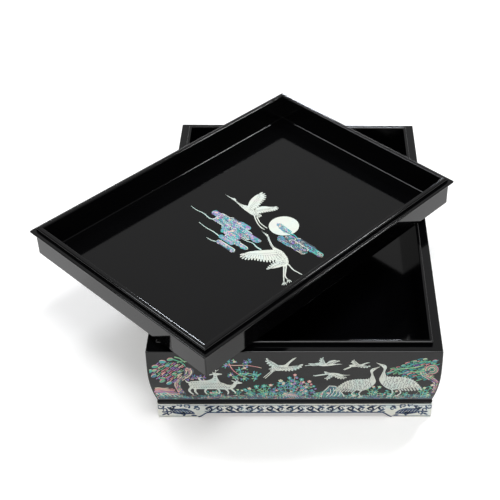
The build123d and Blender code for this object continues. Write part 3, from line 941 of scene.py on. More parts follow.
def scallops(figure, outline, start, end, half_width, pitch, weight):
    """Rows of small overlapping feathers over a body, from its shoulder to its tail."""
    dice = random.Random(scallop_seed)
    axis = Vector(end) - Vector(start)
    length = axis.length
    axis.normalize()
    side = Vector((-axis.y, axis.x))
    row = 0
    while row * pitch < length:
        across = -half_width + (0.5 * pitch if row % 2 else 0.0)
        while across < half_width:
            drift = dice.uniform(-0.15, 0.15) * pitch
            middle = Vector(start) + axis * (row + dice.uniform(-0.3, 0.3)) * pitch + side * (across + drift)
            arc = []
            for degrees in SCALLOP_ARC:
                angle = math.radians(degrees)
                spot = middle + axis * math.cos(angle) * scallop_length * pitch
                spot += side * math.sin(angle) * scallop_half_width * pitch
                arc.append(tuple(spot))
            if all(inside(spot, outline) for spot in arc):
                engraved_line(figure, arc, body_rise, weight * engraved, weight * engraved)
            across += pitch
        row += 1


def along_line(line, count):
    """Evenly spaced points along a line."""
    lengths = [0.0]
    for a, b in zip(line, line[1:]):
        lengths.append(lengths[-1] + math.dist(a, b))
    spots = []
    k = 0
    for i in range(count):
        target = lengths[-1] * i / max(1, count - 1)
        while k < len(line) - 2 and lengths[k + 1] < target:
            k += 1
        span = lengths[k + 1] - lengths[k]
        spots.append(between(line[k], line[k + 1], (target - lengths[k]) / span if span else 0.0))
    return spots


# Shares of the way from a feather's root to its tip: the ends of its shaft
FRINGE_SHAFT = (0.15, 0.85)


def feather_fringe(figure, root_line, tip_line, count, width):
    """Row of feathers from points of one line to points of another, with an engraved shaft in each."""
    for root, tip in zip(along_line(root_line, count), along_line(tip_line, count)):
        figure.plate(shaped(FEATHER, root, tip, width), "white_shell")
        shaft = [between(root, tip, share) for share in FRINGE_SHAFT]
        figure.stroke(shaft, engraved, 0.5 * engraved)


# Shares of the way across a wing: where its feathers start, the ends of their shafts, and its two cross lines
feather_root = 0.5
WING_SHAFT = (0.42, 0.9)
CROSS_LINES = (0.26, 0.42)


def wing(figure, leading, trailing, count, rise=wing_rise, parted=0.35):
    """Open wing: leading edge to the tip, trailing edge back, and flight feathers that part at their ends."""
    lead = smooth(leading)
    trail = smooth([leading[-1], *trailing])
    spacing = math.dist(trail[0], trail[-1]) / count
    middle = sum((Vector(spot) for spot in lead + trail), Vector((0.0, 0.0))) / len(lead + trail)
    covered = []
    for spot in trail[1:-1]:
        inwards = middle - Vector(spot)
        drawn_in = min(parted * spacing, 0.4 * inwards.length)
        covered.append(tuple(Vector(spot) + inwards.normalized() * drawn_in))
    figure.plate(lead + covered + [trail[-1]], "white_shell", rise=rise)
    tips = along_line(trail, count)
    roots = along_line([lead[-1 - len(lead) // 4], lead[0]], count)
    for start, tip in zip(roots, tips):
        reach = between(start, tip, 1.0 + 0.4 * spacing / max(math.dist(start, tip), 2 * spacing))
        feather = shaped(FEATHER, between(start, tip, feather_root), reach, 0.72 * spacing)
        figure.plate(feather, "white_shell", rise=0.5 * rise)
        shaft = [between(start, tip, share) for share in WING_SHAFT]
        engraved_line(figure, shaft, rise, end_width=0.8 * engraved)
    for share in CROSS_LINES:
        row = [between(start, tip, share) for start, tip in zip(roots, tips)]
        engraved_line(figure, smooth(row, 2), rise, 0.9 * engraved, 0.9 * engraved)


toe_length = 2.4


def leg(figure, points, width, toes):
    """Thin leg with a knee, and toes at its foot."""
    figure.limb(smooth(points, 3), 1.3 * width, width)
    for degrees in toes:
        toe = [points[-1], polar(points[-1], toe_length, degrees)]
        figure.limb(toe, width, 0.35 * width)


def eye(figure, middle, half_length, half_height, corners=6, rise=0.02):
    """Dark eye of a crane or a deer."""
    figure.plate(oval(middle, half_length, half_height, 0, corners), "engraving", rise=rise)


def neck_lines(figure, crossings, shares, rise):
    """Engraved lines along a neck, each at its share of the way from one edge to the other."""
    for share in shares:
        line = [between(upper, lower, share) for upper, lower in crossings]
        engraved_line(figure, smooth(line), rise)


def standing_crane():
    """Crane on two legs, looking right, its feet at the origin."""
    figure = Cutting()
    leg(figure, [(1, 12), (-1.6, 6.4), (0.4, 0.8)], 0.95, (-12, 30, 195))
    leg(figure, [(-6, 11), (-8.4, 6), (-6, 1.6)], 0.95, (-12, 30, 195))
    tail_roots = [(-21, 17), (-13, 15), (-4, 13.6)]
    tail_tips = [(-25.2, 10), (-16, 8.4), (-7.4, 8.8)]
    feather_fringe(figure, tail_roots, tail_tips, count=8, width=1.5)
    back = [(5.8, 28.2), (2, 27.2), (-5, 27.2), (-13, 25.2), (-19, 20), (-23.2, 13.4)]
    nape = [(10, 42.4), (7.6, 41.4), (6.4, 38.6), (7.6, 33.5)]
    belly = [(-18, 14), (-12, 13.2), (-6, 12), (0, 10.6), (5.4, 13.6), (10, 19)]
    throat = [(12, 24.6), (10.6, 30), (8.9, 36.4), (10.4, 39.8), (15.2, 44.2)]
    outline = outline_of(nape + back, belly + throat)
    figure.plate(outline, "white_shell", rise=body_rise)
    for spot in along_line(smooth(back), 15):
        figure.plate(oval(spot, 1.0, 0.7, -20, 8), "white_shell")
    scallops(figure, outline, (8, 21.5), (-22, 16), half_width=9.0, pitch=2.1, weight=1.7)
    for line in ([(7.6, 27.5), (8.4, 33), (7.3, 37.6)], [(9.4, 26.5), (9.2, 33), (8.1, 37.6)]):
        engraved_line(figure, smooth(line), body_rise, 0.6 * engraved, 0.5 * engraved)
    engraved_line(figure, [(10.4, 41.2), (14.6, 43.6)], body_rise, engraved, 0.5 * engraved)
    eye(figure, (9, 40.9), 0.4, 0.4)
    return figure


def flying_crane(legs, tail, upper, lower, wings, eye_middle, eye_radius, feathered=None):
    """Small crane in flight to the right, its legs trailing behind it, its body at the origin."""
    figure = Cutting()
    for start, end, first_width, last_width in legs:
        figure.limb([start, end], first_width, last_width)
    if tail:
        feather_fringe(figure, *tail)
    outline = outline_of(upper, lower)
    figure.plate(outline, "white_shell", rise=body_rise)
    for spread in wings:
        wing(figure, *spread)
    if feathered:
        scallops(figure, outline, *feathered)
    eye(figure, eye_middle, eye_radius, eye_radius)
    return figure


def rising_crane():
    """Crane flying up to the right with both wings spread."""
    return flying_crane(
        legs=[((-5, -2.4), (-14.5, -13.4), 0.9, 0.6), ((-4, -3), (-13, -14.6), 0.9, 0.6)],
        tail=([(-4, 0), (-2, -3)], [(-9.6, -2.4), (-7.4, -5.6)], 3, 1.3),
        upper=[(11.6, 10.4), (8, 6.6), (4.6, 3), (-1, 2.4), (-5, 1.4), (-7.6, -1.4)],
        lower=[(-3, -4.2), (3, -3.6), (6.6, -0.4), (9.6, 5.2), (12.4, 8.8), (15.6, 12.4)],
        wings=[
            ([(1, 1), (-5, 6), (-11.2, 10.6)], [(-11.4, 7.2), (-9, 2.8), (-4, -1.4)], 6),
            ([(0, 1), (9, 1), (20.4, 3)], [(19.4, 0.2), (14, -3.2), (7, -4.4), (0, -3)], 9),
        ],
        eye_middle=(11.6, 9.3),
        eye_radius=0.4,
        feathered=((4, 0), (-6, -1.6), 2.4, 2.0, 1.0),
    )


def gliding_crane():
    """Crane heading right with its wings raised."""
    return flying_crane(
        legs=[((-7, 0.4), (-18.6, -1.2), 0.9, 0.5)],
        tail=([(-8, 1), (-7, -0.6)], [(-15.6, 1.2), (-13, -1)], 3, 1.1),
        upper=[(8, 1.2), (2, 1.4), (-5, 2.4), (-9.6, 1.8)],
        lower=[(-7, -0.6), (-2, -1.7), (5, -1), (10, 0), (14.8, 0.7)],
        wings=[
            ([(0.4, 0.6), (-1.4, 5), (-2.4, 8.8)], [(-5.2, 6.8), (-5.2, 3), (-4.4, 0.8)], 5),
            (
                [(0.2, 1.2), (3.6, 4.6), (8, 5.9), (12.2, 4.6)],
                [(9, 3), (5.4, 1), (3, -0.4)],
                7,
                0.008,
            ),
        ],
        eye_middle=(9.6, 0.8),
        eye_radius=0.35,
    )


def climbing_crane():
    """Crane climbing to the right, one wing up behind it and one held out."""
    return flying_crane(
        legs=[((-4, -1.2), (-10.4, -4.9), 0.9, 0.5), ((-3.4, -1.8), (-9.6, -5.4), 0.8, 0.5)],
        tail=None,
        upper=[(10, 3.8), (7.6, 2.6), (5.2, 1.5), (0, 1.6), (-5.6, 0.9)],
        lower=[(-3.6, -1.4), (1.4, -1.2), (5.8, -0.2), (8.2, 1.4), (10.2, 2.7), (13.4, 3.9)],
        wings=[
            ([(4.2, 1.2), (1.4, 4.2), (-1.2, 7.2)], [(-3.6, 4.8), (-2.4, 2.6), (-0.8, 0.8)], 5),
            ([(1, 0.8), (7, 0.4), (13.2, -0.8)], [(10.6, -2.4), (5, -2), (0.6, -0.8)], 6),
        ],
        eye_middle=(9.6, 3.3),
        eye_radius=0.35,
    )


def beating_crane():
    """Crane heading right with its wings beating down."""
    return flying_crane(
        legs=[((-5, 1.2), (-18, -1.3), 1.0, 0.6), ((-5, 0.6), (-16.6, -1.9), 0.8, 0.5)],
        tail=([(-3, 1.8), (-2, 0.8)], [(-8.4, 3.8), (-7.8, 2.2)], 2, 1.5),
        upper=[(9, -0.1), (4, 1.8), (-1, 2.4), (-5.6, 1.8)],
        lower=[(-4, -0.6), (0, -2), (5.6, -1.9), (10, -1.1), (15.3, -0.5)],
        wings=[
            ([(-3, 0.2), (-5, -2.2), (-7.4, -5)], [(-5, -6.6), (-1.8, -3.6), (0.6, -1.2)], 5),
            ([(2, 1.2), (7.6, -1.2), (11.8, -4)], [(9.6, -5.4), (5, -5), (0.4, -1.6)], 6),
        ],
        eye_middle=(9.8, -0.6),
        eye_radius=0.35,
    )


HOOF = [(-0.8, -0.8), (1.1, -0.8), (0.5, 0.5), (-0.6, 0.5)]


def deer_leg(figure, points, first_width=2.2):
    """Tapering leg with a dark hoof."""
    figure.limb(smooth(points, 3), first_width, 0.9)
    foot = points[-1]
    figure.plate([(foot[0] + u, foot[1] + v) for u, v in HOOF], "engraving", rise=0.01)


def deer_coat(figure, outline, rows):
    """Spots in staggered rows along a deer's side."""
    for index, (start, end, count) in enumerate(rows):
        stagger = 0.5 * (end[0] - start[0]) / count if index % 2 else 0.0
        for u, v in along_line([start, end], count):
            spot = (u + stagger, v)
            if inside(spot, outline):
                figure.plate(oval(spot, 0.72, 0.42, 15, 6), "engraving", rise=body_rise + line_proud)


def deer():
    """Deer walking right with its head held forward, its feet at the origin."""
    figure = Cutting()
    deer_leg(figure, [(-17, 13), (-20.4, 7.4), (-17.4, 1)], 3.0)
    deer_leg(figure, [(-14, 12), (-15, 6.4), (-13.4, 1)], 2.6)
    deer_leg(figure, [(13, 11), (15.6, 5.6), (14.2, 1)])
    deer_leg(figure, [(17.6, 11.6), (20.8, 7.2), (22.4, 2.6)])
    figure.limb(smooth([(-17.6, 19.6), (-20.4, 20.6), (-21.6, 23)], 3), 2.0, 0.6)
    antlers = ([(24.4, 21.4), (23.6, 24.4), (21, 26.2)], [(24.8, 21.4), (26, 24.2), (25, 27)])
    for points in antlers:
        figure.limb(smooth(points, 3), 0.7, 0.35)
    back = [(-17.4, 21.2), (-9, 22.2), (3, 21.8), (11, 19.6), (15.6, 16.6), (19.6, 16.4), (22.4, 20.4)]
    head = [(24.8, 21.6), (29.6, 19.4)]
    throat = [(28.8, 18.4), (24.6, 17.6), (22.8, 13.6), (18.4, 9.8)]
    belly = [(11, 9.6), (0, 10.2), (-10, 10.2), (-17, 11), (-19.4, 17)]
    outline = outline_of(back, head, throat + belly)
    figure.plate(outline, "white_shell", rise=body_rise)
    figure.plate(shaped(LEAF, (23.4, 20.6), (19.8, 22.6), 1.4), "white_shell", rise=0.01)
    rows = [
        ((-16.4, 19.8), (10, 18.4), 13),
        ((-17, 17.6), (12, 16.2), 14),
        ((-17.4, 15.2), (14, 14), 15),
        ((-16, 12.8), (16, 12), 15),
    ]
    deer_coat(figure, outline, rows)
    shoulder = smooth([(14.4, 11.4), (17.8, 13.4), (21.6, 17.4)])
    engraved_line(figure, shoulder, body_rise, 0.7 * engraved, 0.7 * engraved)
    eye(figure, (25, 20), 0.45, 0.32)
    return figure


def deer_looking_up():
    """Deer seen behind another, its neck raised and its head turned right. Feet at the origin."""
    figure = Cutting()
    deer_leg(figure, [(-6, 11), (-8, 6), (-6.6, 1.6)])
    deer_leg(figure, [(4, 11), (5.6, 6), (4.2, 1.6)])
    antlers = (
        [(2.6, 32.4), (0.4, 34.8), (-2.4, 35.6)],
        [(3.6, 32.8), (4.2, 36), (2.8, 38.6)],
        [(4, 34.6), (6.8, 37)],
    )
    for points in antlers:
        figure.limb(smooth(points, 3), 0.8, 0.4)
    figure.limb(smooth([(-9.6, 22), (-11.4, 25.6), (-8.6, 27.4)], 3), 1.8, 0.7)
    back = [(-9.6, 22), (-3, 23.2), (1.2, 26), (1.8, 30.4), (0.6, 31.4), (3.4, 32.8), (9.6, 31.8)]
    front = [(9.4, 30.6), (5.2, 29.4), (6.2, 24), (8, 18), (6, 11.6), (-4, 10), (-12, 14)]
    outline = outline_of(back, front)
    figure.plate(outline, "white_shell", rise=body_rise)
    figure.plate(shaped(LEAF, (1.8, 31.4), (-2, 30), 1.4), "white_shell", rise=0.01)
    rows = [
        ((-9, 19.6), (4, 20.6), 7),
        ((-10, 16.8), (6, 17.4), 8),
        ((-9, 14), (6, 14), 7),
        ((3, 23), (3.4, 28), 3),
    ]
    deer_coat(figure, outline, rows)
    eye(figure, (4, 31.6), 0.45, 0.32)
    return figure


# Tones of foliage and of blossom
GREENS = (0.20, 0.25, 0.30, 0.36, 0.41, 0.46)
ROSES = (0.62, 0.67, 0.72, 0.86, 0.93)


def pad(figure, spot, size, degrees, tone, dice, rise=0.012):
    """Oval pad of foliage on a dark ground, with a paler rim on one side and an engraved vein."""
    figure.plate(oval(spot, 1.2 * size, 0.84 * size, degrees, 10), "colour_shell", 0.0, rise - 0.003)
    rim = polar(spot, 0.22 * size, degrees + 80)
    pale = dice.choice((0.64, 0.7, 0.58, 0.5))
    figure.plate(oval(rim, 0.98 * size, 0.58 * size, degrees, 10), "colour_shell", pale, rise)
    figure.plate(oval(spot, size, 0.5 * size, degrees, 10), "colour_shell", tone, rise + 0.004)
    vein = [polar(spot, -0.7 * size, degrees), polar(spot, 0.6 * size, degrees)]
    engraved_line(figure, vein, rise + 0.004, 0.8 * engraved, 0.4 * engraved)


hatching_rise = 0.006
hatching_gap = 0.7


def hatching(figure, outline, degrees, pitch, length, width, tones, dice):
    """Short slanting strips of shell in an outline, with the dark ground between them."""
    middle = Vector((sum(u for u, v in outline), sum(v for u, v in outline))) / len(outline)
    along = Vector((math.cos(math.radians(degrees)), math.sin(math.radians(degrees))))
    across = Vector((-along.y, along.x))
    reach = max((Vector(spot) - middle).length for spot in outline)
    row = -int(reach / pitch)
    while row * pitch < reach:
        place = -reach + dice.uniform(0, length)
        while place < reach:
            run = length * dice.uniform(0.6, 1.2)
            start = middle + across * row * pitch + along * place
            end = start + along * run + across * dice.uniform(-0.5, 0.5)
            bend = (start + end) / 2 + across * dice.uniform(-0.3, 0.6)
            strip = [tuple(start), tuple(bend), tuple(end)]
            if all(inside(spot, outline) for spot in strip):
                first_width = width * dice.uniform(0.7, 1.2)
                tone = dice.choice(tones)
                figure.stroke(smooth(strip, 2), first_width, 0.4 * width, "colour_shell", tone, hatching_rise)
            place += run + hatching_gap
        row += 1


CROWN = [
    (-25, 29), (-22, 23), (-14, 15), (-6, 13), (0, 21), (5, 27),
    (7, 35), (6, 41), (-3, 46), (-13, 44), (-21, 38),
]
CROWN_PADS = (
    (-13, 43, 3.0), (-6, 46, 2.8), (-20, 37, 3.0), (-25, 31, 2.8), (-22, 25, 2.8), (-15, 18, 2.8),
    (-9, 15, 2.8), (-14, 22, 2.2), (-21, 32, 2.2), (-1, 38, 2.0), (-9, 38, 2.0), (-4, 27, 2.0), (1, 30, 1.8),
)
CROWN_SPRAYS = (
    [(-7, 47), (-1, 45), (5, 41), (7, 37)],
    [(-2, 49), (3, 47), (7, 42)],
    [(0, 42), (4, 44), (9, 43)],
)
CROWN_TONES = GREENS[2:] + ROSES + ROSES


def pine_crown(seed):
    """Foliage that leans out to the left of the trunk: slanting needles, with oval pads round the edge."""
    dice = random.Random(seed)
    figure = Cutting()
    outline = smooth_ring(CROWN)
    hatching(figure, outline, degrees=43, pitch=1.75, length=5.5, width=1.15, tones=CROWN_TONES, dice=dice)
    for u, v, size in CROWN_PADS:
        pad(figure, (u, v), size, dice.uniform(-10, 50), dice.choice(GREENS), dice)
    for line in CROWN_SPRAYS:
        figure.stroke(smooth(line), 1.5, 0.6, "colour_shell", dice.choice((0.44, 0.38, 0.48)), 0.018)
    return figure


TRUNK_SIDES = (
    [(-3, 0), (-5.4, 10), (-5.2, 16), (-0.4, 24), (5, 29), (4, 35), (8, 38.4)],
    [(8, 38.4), (13.4, 34.6), (12.4, 28.4), (7, 23.4), (1.2, 17.6), (0, 11), (2.6, 0)],
)
TRUNK_MIDDLE = [(-0.2, 1), (-2.8, 10.5), (-2.2, 16.6), (3.2, 23.6), (9, 29.6), (8.2, 36)]
BARK = (0.4, 0.46, 0.56, 0.6, 0.64, 0.66, 0.68, 0.72, 0.88, 0.96)
BARK_OFFSETS = (-1.9, 0.0, 1.9)
bark_rows = 46
bark_rise = 0.006


def pine_trunk(seed):
    """Trunk bent like a bow, with scaled bark, in rose and green shell."""
    dice = random.Random(seed)
    figure = Cutting()
    outline = smooth(TRUNK_SIDES[0]) + smooth(TRUNK_SIDES[1])[1:]
    figure.plate(outline, "colour_shell", 0.0)
    for spot in along_line(smooth(TRUNK_MIDDLE, 6), bark_rows):
        for across in BARK_OFFSETS:
            u = spot[0] + across + dice.uniform(-0.5, 0.5)
            v = spot[1] - 0.5 * across + dice.uniform(-0.4, 0.4)
            patch = oval((u, v), dice.uniform(1.0, 1.5), dice.uniform(0.42, 0.62), dice.uniform(40, 80), 8)
            if all(inside(corner, outline) for corner in patch):
                tone = dice.choice(BARK)
                figure.plate(patch, "colour_shell", tone, bark_rise + dice.uniform(0, 0.004))
        arc = [(spot[0] - 1.5, spot[1] + 0.6), (spot[0], spot[1] - 0.6), (spot[0] + 1.5, spot[1] + 0.6)]
        if all(inside(corner, outline) for corner in arc):
            engraved_line(figure, smooth(arc, 2), 0.008)
    knots = smooth([(7, 36.6), (11.4, 34), (11, 29), (6.4, 24)])
    figure.stroke(knots, 1.0, 0.6, "colour_shell", 0.6, 0.014)
    outer_light = smooth([(-3.8, 2), (-4.6, 10), (-4.4, 15.4), (0.4, 23)])
    figure.stroke(outer_light, 0.9, 0.6, "colour_shell", 0.66, 0.014)
    return figure


SWEPT = [
    (-33, 27), (-22, 25), (-12, 22), (-2, 18), (8, 20), (16, 29),
    (18, 40), (12, 47), (0, 48), (-10, 44), (-20, 38), (-30, 32),
]
SWEPT_PADS = (
    (-28, 29, 2.0), (-22, 33, 1.8), (-12, 29, 1.8), (-16, 38, 2.0), (-6, 43, 2.0), (3, 46, 2.0),
    (12, 44, 2.2),
)
SWEPT_TONES = GREENS + (0.3, 0.42, 0.22, 0.27, 0.64, 0.7, 0.92)
SWEPT_SPRAYS = (
    [(-26, 30), (-18, 34), (-8, 35), (2, 38)],
    [(-14, 36), (-4, 41), (6, 43), (13, 40)],
    [(-20, 27), (-10, 30), (0, 31), (8, 36)],
    [(-4, 29), (3, 31), (9, 28)],
)
# The coiled twigs of the knot: radius, width and tone of each ring
KNOT_RINGS = ((5.6, 0.9, 0.66), (4.3, 0.9, 0.4), (2.9, 0.9, 0.6), (1.5, 0.8, 0.36))
knot_middle = (10, 33)
knot_ground = 0.9


def swept_crown(seed):
    """Foliage of long swept sprays that trail left from a knot at the upper right, with coiled twigs."""
    dice = random.Random(seed)
    figure = Cutting()
    outline = smooth_ring(SWEPT)
    hatching(figure, outline, degrees=22, pitch=1.8, length=5.5, width=1.05, tones=SWEPT_TONES, dice=dice)
    for u, v, size in SWEPT_PADS:
        pad(figure, (u, v), size, dice.uniform(0, 40), dice.choice(GREENS), dice, 0.014)
    for line in SWEPT_SPRAYS:
        figure.stroke(smooth(line), 0.7, 1.3, "colour_shell", dice.choice((0.34, 0.4, 0.44)), 0.016)
    for radius, width, tone in KNOT_RINGS:
        ground = radius + knot_ground
        figure.plate(oval(knot_middle, ground, ground, 0, 16), "colour_shell", 0.0, 0.018)
        ring = [polar(knot_middle, radius, degrees) for degrees in range(200, -130, -25)]
        figure.stroke(smooth(ring, 2), width, 0.7 * width, "colour_shell", tone, 0.022)
    return figure


def blossom(figure, middle, radius, tone, rise=0.01):
    """Five-petalled flower with its heart."""
    for i in range(5):
        tip = polar(middle, radius, 90 + 72 * i)
        petal = shaped(LEAF, polar(middle, 0.12 * radius, 90 + 72 * i), tip, 0.8 * radius)
        figure.plate(petal, "colour_shell", tone, rise)
    figure.plate(oval(middle, 0.24 * radius, 0.24 * radius, 0, 6), "white_shell", rise=rise + 0.008)


def leaf_spray(figure, middle, radius, count, tones, dice, rise=0.0):
    """Leaves scattered over a round of foliage, pointing outwards."""
    for _ in range(count):
        degrees = dice.uniform(0, 360)
        start = polar(middle, radius * math.sqrt(dice.random()) * 0.8, degrees)
        length = dice.uniform(1.6, 2.9)
        end = polar(start, length, degrees + dice.uniform(-50, 50))
        leaf = shaped(LEAF, start, end, 0.42 * length)
        figure.plate(leaf, "colour_shell", dice.choice(tones), rise + dice.uniform(0, 0.008))


BUSH_ROUNDS = (
    (-13, 7, 7.0), (-3, 10, 8.5), (8, 8, 7.5), (17, 5, 5.5), (-8, 18, 4.5), (2, 20, 5.0), (12, 16, 4.5)
)
BUSH_LEAVES = (0.1, 0.16, 0.2, 0.24, 0.28, 0.32, 0.36, 0.96, 0.9)
BUSH_FLOWERS = (0.66, 0.62, 0.28, 0.22, 0.96, 0.3)
BUSH_STEMS = ((-9, 23, 3.0), (-1, 27, 2.8), (4, 31, 2.4), (10, 25, 3.0), (17, 22, 2.6), (21, 15, 2.4))


def flowering_bush(seed):
    """Wide bush of small leaves, with flowering stems above it."""
    dice = random.Random(seed)
    figure = Cutting()
    for u, v, radius in BUSH_STEMS:
        stem = smooth([(u * 0.5, 8.0), (u * 0.75, 15.0), (u, v)])
        figure.stroke(stem, 0.8, 0.45, "colour_shell", dice.choice((0.66, 0.4)), 0.0)
        for i in range(6):
            spot = between((u * 0.7, 11.0), (u, v), i / 6)
            leaf = shaped(LEAF, spot, polar(spot, 2.8, 25 if i % 2 else 155), 1.1)
            figure.plate(leaf, "colour_shell", dice.choice((0.24, 0.28, 0.4, 0.48)), 0.002)
        blossom(figure, (u, v), 0.75 * radius, dice.choice((0.66, 0.3, 0.26, 0.58)))
        blossom(figure, (u + 1.8, v - 4.0), 0.55 * radius, dice.choice((0.66, 0.94, 0.2, 0.3)))
    for u, v, radius in BUSH_ROUNDS:
        leaf_spray(figure, (u, v), radius, int(radius * 8), BUSH_LEAVES, dice)
        for _ in range(3):
            spot = polar((u, v), radius * dice.uniform(0.2, 0.8), dice.uniform(0, 360))
            blossom(figure, spot, dice.uniform(1.1, 1.7), dice.choice(BUSH_FLOWERS), 0.014)
    return figure


SPRIGS = (
    (-9, 12, 2.4), (-4, 12, 2.4), (-12, 7, 2.6), (6, 11, 2.6), (10, 12, 2.4), (0, 2, 2.6), (5, 4, 2.6),
    (-8, -5, 2.4), (1, -3, 3.0), (6, -4, 3.0), (4, -10, 2.6), (13, -4, 2.8), (17, -5, 2.4), (14, -10, 2.4),
    (-3, -9, 2.4),
)
TWIGS = (
    ([(-13, 8), (-4, 7.4), (7, 7.4), (17, 5), (20, 4)], 1.0, 0.45, 0.66),
    ([(-9, 10), (-6, 2), (-1, -4), (6, -8)], 1.0, 0.5, 0.68),
    ([(-1, -4), (8, -3), (16, -5)], 0.8, 0.4, 0.5),
)


def blossom_branch(seed):
    """Twigs that hang in from the left, set with leaves and small blossoms."""
    dice = random.Random(seed)
    figure = Cutting()
    for line, first_width, last_width, tone in TWIGS:
        figure.stroke(smooth(line), first_width, last_width, "colour_shell", tone, 0.0)
    for u, v, radius in SPRIGS:
        leaf_spray(figure, (u, v), radius, 9, (0.18, 0.26, 0.3, 0.36, 0.44, 0.96), dice)
        blossom(figure, (u, v), 0.62 * radius, dice.choice((0.3, 0.48, 0.3, 0.62, 0.7, 0.96)))
    return figure


ROCK = [(-9, 0), (-7.6, 8), (-5, 12), (-2, 17.5), (3, 17), (7, 14), (9.4, 8), (12, 3), (13, 0)]
ROCK_VEINS = (
    ((-4, 0.6), (-1, 13)),
    ((-0.6, 0.6), (2, 14.6)),
    ((3, 0.6), (4.4, 12)),
    ((6.8, 0.6), (7, 9)),
)


def rock(seed):
    """Leaning rock: pale outlines round slanting bands of green and dark shell, its foot at the origin."""
    dice = random.Random(seed)
    figure = Cutting()
    figure.plate(ROCK, "colour_shell", 0.02)
    figure.stroke(ROCK, 1.1, 1.1, "white_shell", rise=0.01)
    for i in range(9):
        foot = -7.0 + 2.1 * i
        band = [(foot, 0.4), (foot + 2.2, 4.4), (foot + 0.4, 8.6), (foot + 2.6, 12.4), (foot + 1.6, 16.6)]
        kept = [spot for spot in smooth(band) if inside(spot, ROCK)]
        if len(kept) > 3:
            figure.stroke(kept, 1.0, 0.5, "colour_shell", dice.choice((0.16, 0.22, 0.26, 0.4, 0.1)), 0.006)
    for foot, top in ROCK_VEINS:
        bend = (between(foot, top, 0.5)[0] + 1.8, between(foot, top, 0.5)[1])
        figure.stroke(smooth([foot, bend, top]), 0.8, 0.6, "white_shell", rise=0.012)
    return figure


def layered_rock(seed):
    """Rock worn into long rounded layers, in cream and rose, its foot at the origin."""
    dice = random.Random(seed)
    figure = Cutting()
    for i in range(9):
        level = 0.8 + 1.25 * i
        reach = 12.0 - 0.6 * i + dice.uniform(-1.2, 1.2)
        shift = dice.uniform(-1.5, 1.5) - 0.2 * i
        crest = (shift - 0.4 * reach, level + 0.8)
        hollow = (shift + 0.3 * reach, level - 0.3)
        line = smooth([(shift - reach, level), crest, hollow, (shift + reach, level + 0.3)])
        tone = dice.choice((0.55, 0.59, 0.63, 0.66, 0.7, 0.9))
        figure.stroke(line, 1.15, 0.8, "colour_shell", tone, 0.002 * i)
    for i in range(6):
        start = (-10.0 + 3.6 * i, 3.0 - 0.4 * i)
        figure.stroke([start, (start[0] + 2.6, start[1] - 4.6)], 0.8, 0.4, "white_shell", rise=0.03)
    return figure


def bank_line(run):
    """Crests and hollows of the bank along the foot of a panel, as in the part's source."""
    half = run / 2 - panel_end_margin
    waves = max(2, round(2 * half / ground_wave_length))
    points = []
    for i in range(2 * waves + 1):
        swing = ground_wave if i % 2 else -ground_wave
        points.append((-half + i * half / waves, ground_margin + ground_height + swing))
    return smooth(points, 6)


undergrowth_rise = 0.012


def undergrowth(figure, spot, size, dice):
    """Small plant of the bank: a few leaves on stems, and a flower."""
    rise = undergrowth_rise
    for _ in range(4):
        tip = polar(spot, size * dice.uniform(0.7, 1.2), dice.uniform(35, 145))
        figure.stroke([(spot[0], spot[1] - 1.0), tip], 0.5, 0.3, "colour_shell", dice.choice(GREENS), rise)
        leaf_spray(figure, tip, 0.5 * size, 4, (0.2, 0.26, 0.32, 0.4, 0.5), dice, rise + 0.002)
    flower = polar(spot, 0.9 * size, dice.uniform(50, 130))
    blossom(figure, flower, 0.34 * size, dice.choice((0.3, 0.6, 0.66, 0.55)), rise + 0.012)


strips_per_mm = 0.95
notches_per_mm = 0.9
blades_per_mm = 0.8
plant_spacing = 10.0


def bank(run, seed):
    """Low wavy bank: thin strips of shell over a dark ground, grass and small plants."""
    dice = random.Random(seed)
    figure = Cutting()
    crest = bank_line(run)
    half = run / 2 - panel_end_margin
    figure.plate(crest + [(half, ground_margin), (-half, ground_margin)], "colour_shell", 0.0)
    tones = (0.06, 0.1, 0.14, 0.18, 0.24, 0.3, 0.4, 0.5, 0.62, 0.68, 0.96)
    for _ in range(int(run * strips_per_mm)):
        u = dice.uniform(-half, half - 8)
        level = dice.uniform(1.4, 7.6)
        length = dice.uniform(3, 9)
        swing = dice.uniform(-0.9, 0.9)
        crest_spot = (u + length / 3, level + swing)
        hollow_spot = (u + 2 * length / 3, level - swing)
        strip = smooth([(u, level), crest_spot, hollow_spot, (u + length, level)], 3)
        tone = dice.choice(tones)
        figure.stroke(strip, 0.55, 0.2, "colour_shell", tone, dice.uniform(0.004, 0.012))
    for _ in range(int(run * notches_per_mm)):
        u = dice.uniform(-half, half - 3)
        level = dice.uniform(1.2, 6.0)
        end = (u + dice.uniform(1.0, 3.0), level + dice.uniform(-0.8, 1.6))
        figure.stroke([(u, level), end], 0.5, 0.25, rise=0.014)
    for _ in range(int(run * blades_per_mm)):
        u, top = dice.choice(crest)
        u += dice.uniform(-2, 2)
        lean = dice.uniform(-1.8, 1.8)
        height = dice.uniform(2.5, 6.5)
        blade = [(u, top - 3.5), (u + 0.4 * lean, top - 1.0), (u + lean, top - 3.5 + height)]
        tone = dice.choice((0.14, 0.2, 0.26, 0.32, 0.4, 0.5, 0.66))
        figure.stroke(blade, 0.6, 0.15, "colour_shell", tone, 0.014)
    for _ in range(int(run / plant_spacing)):
        u, top = dice.choice(crest)
        undergrowth(figure, (u + dice.uniform(-3, 3), top - 0.5), dice.uniform(3.0, 5.0), dice)
    return figure


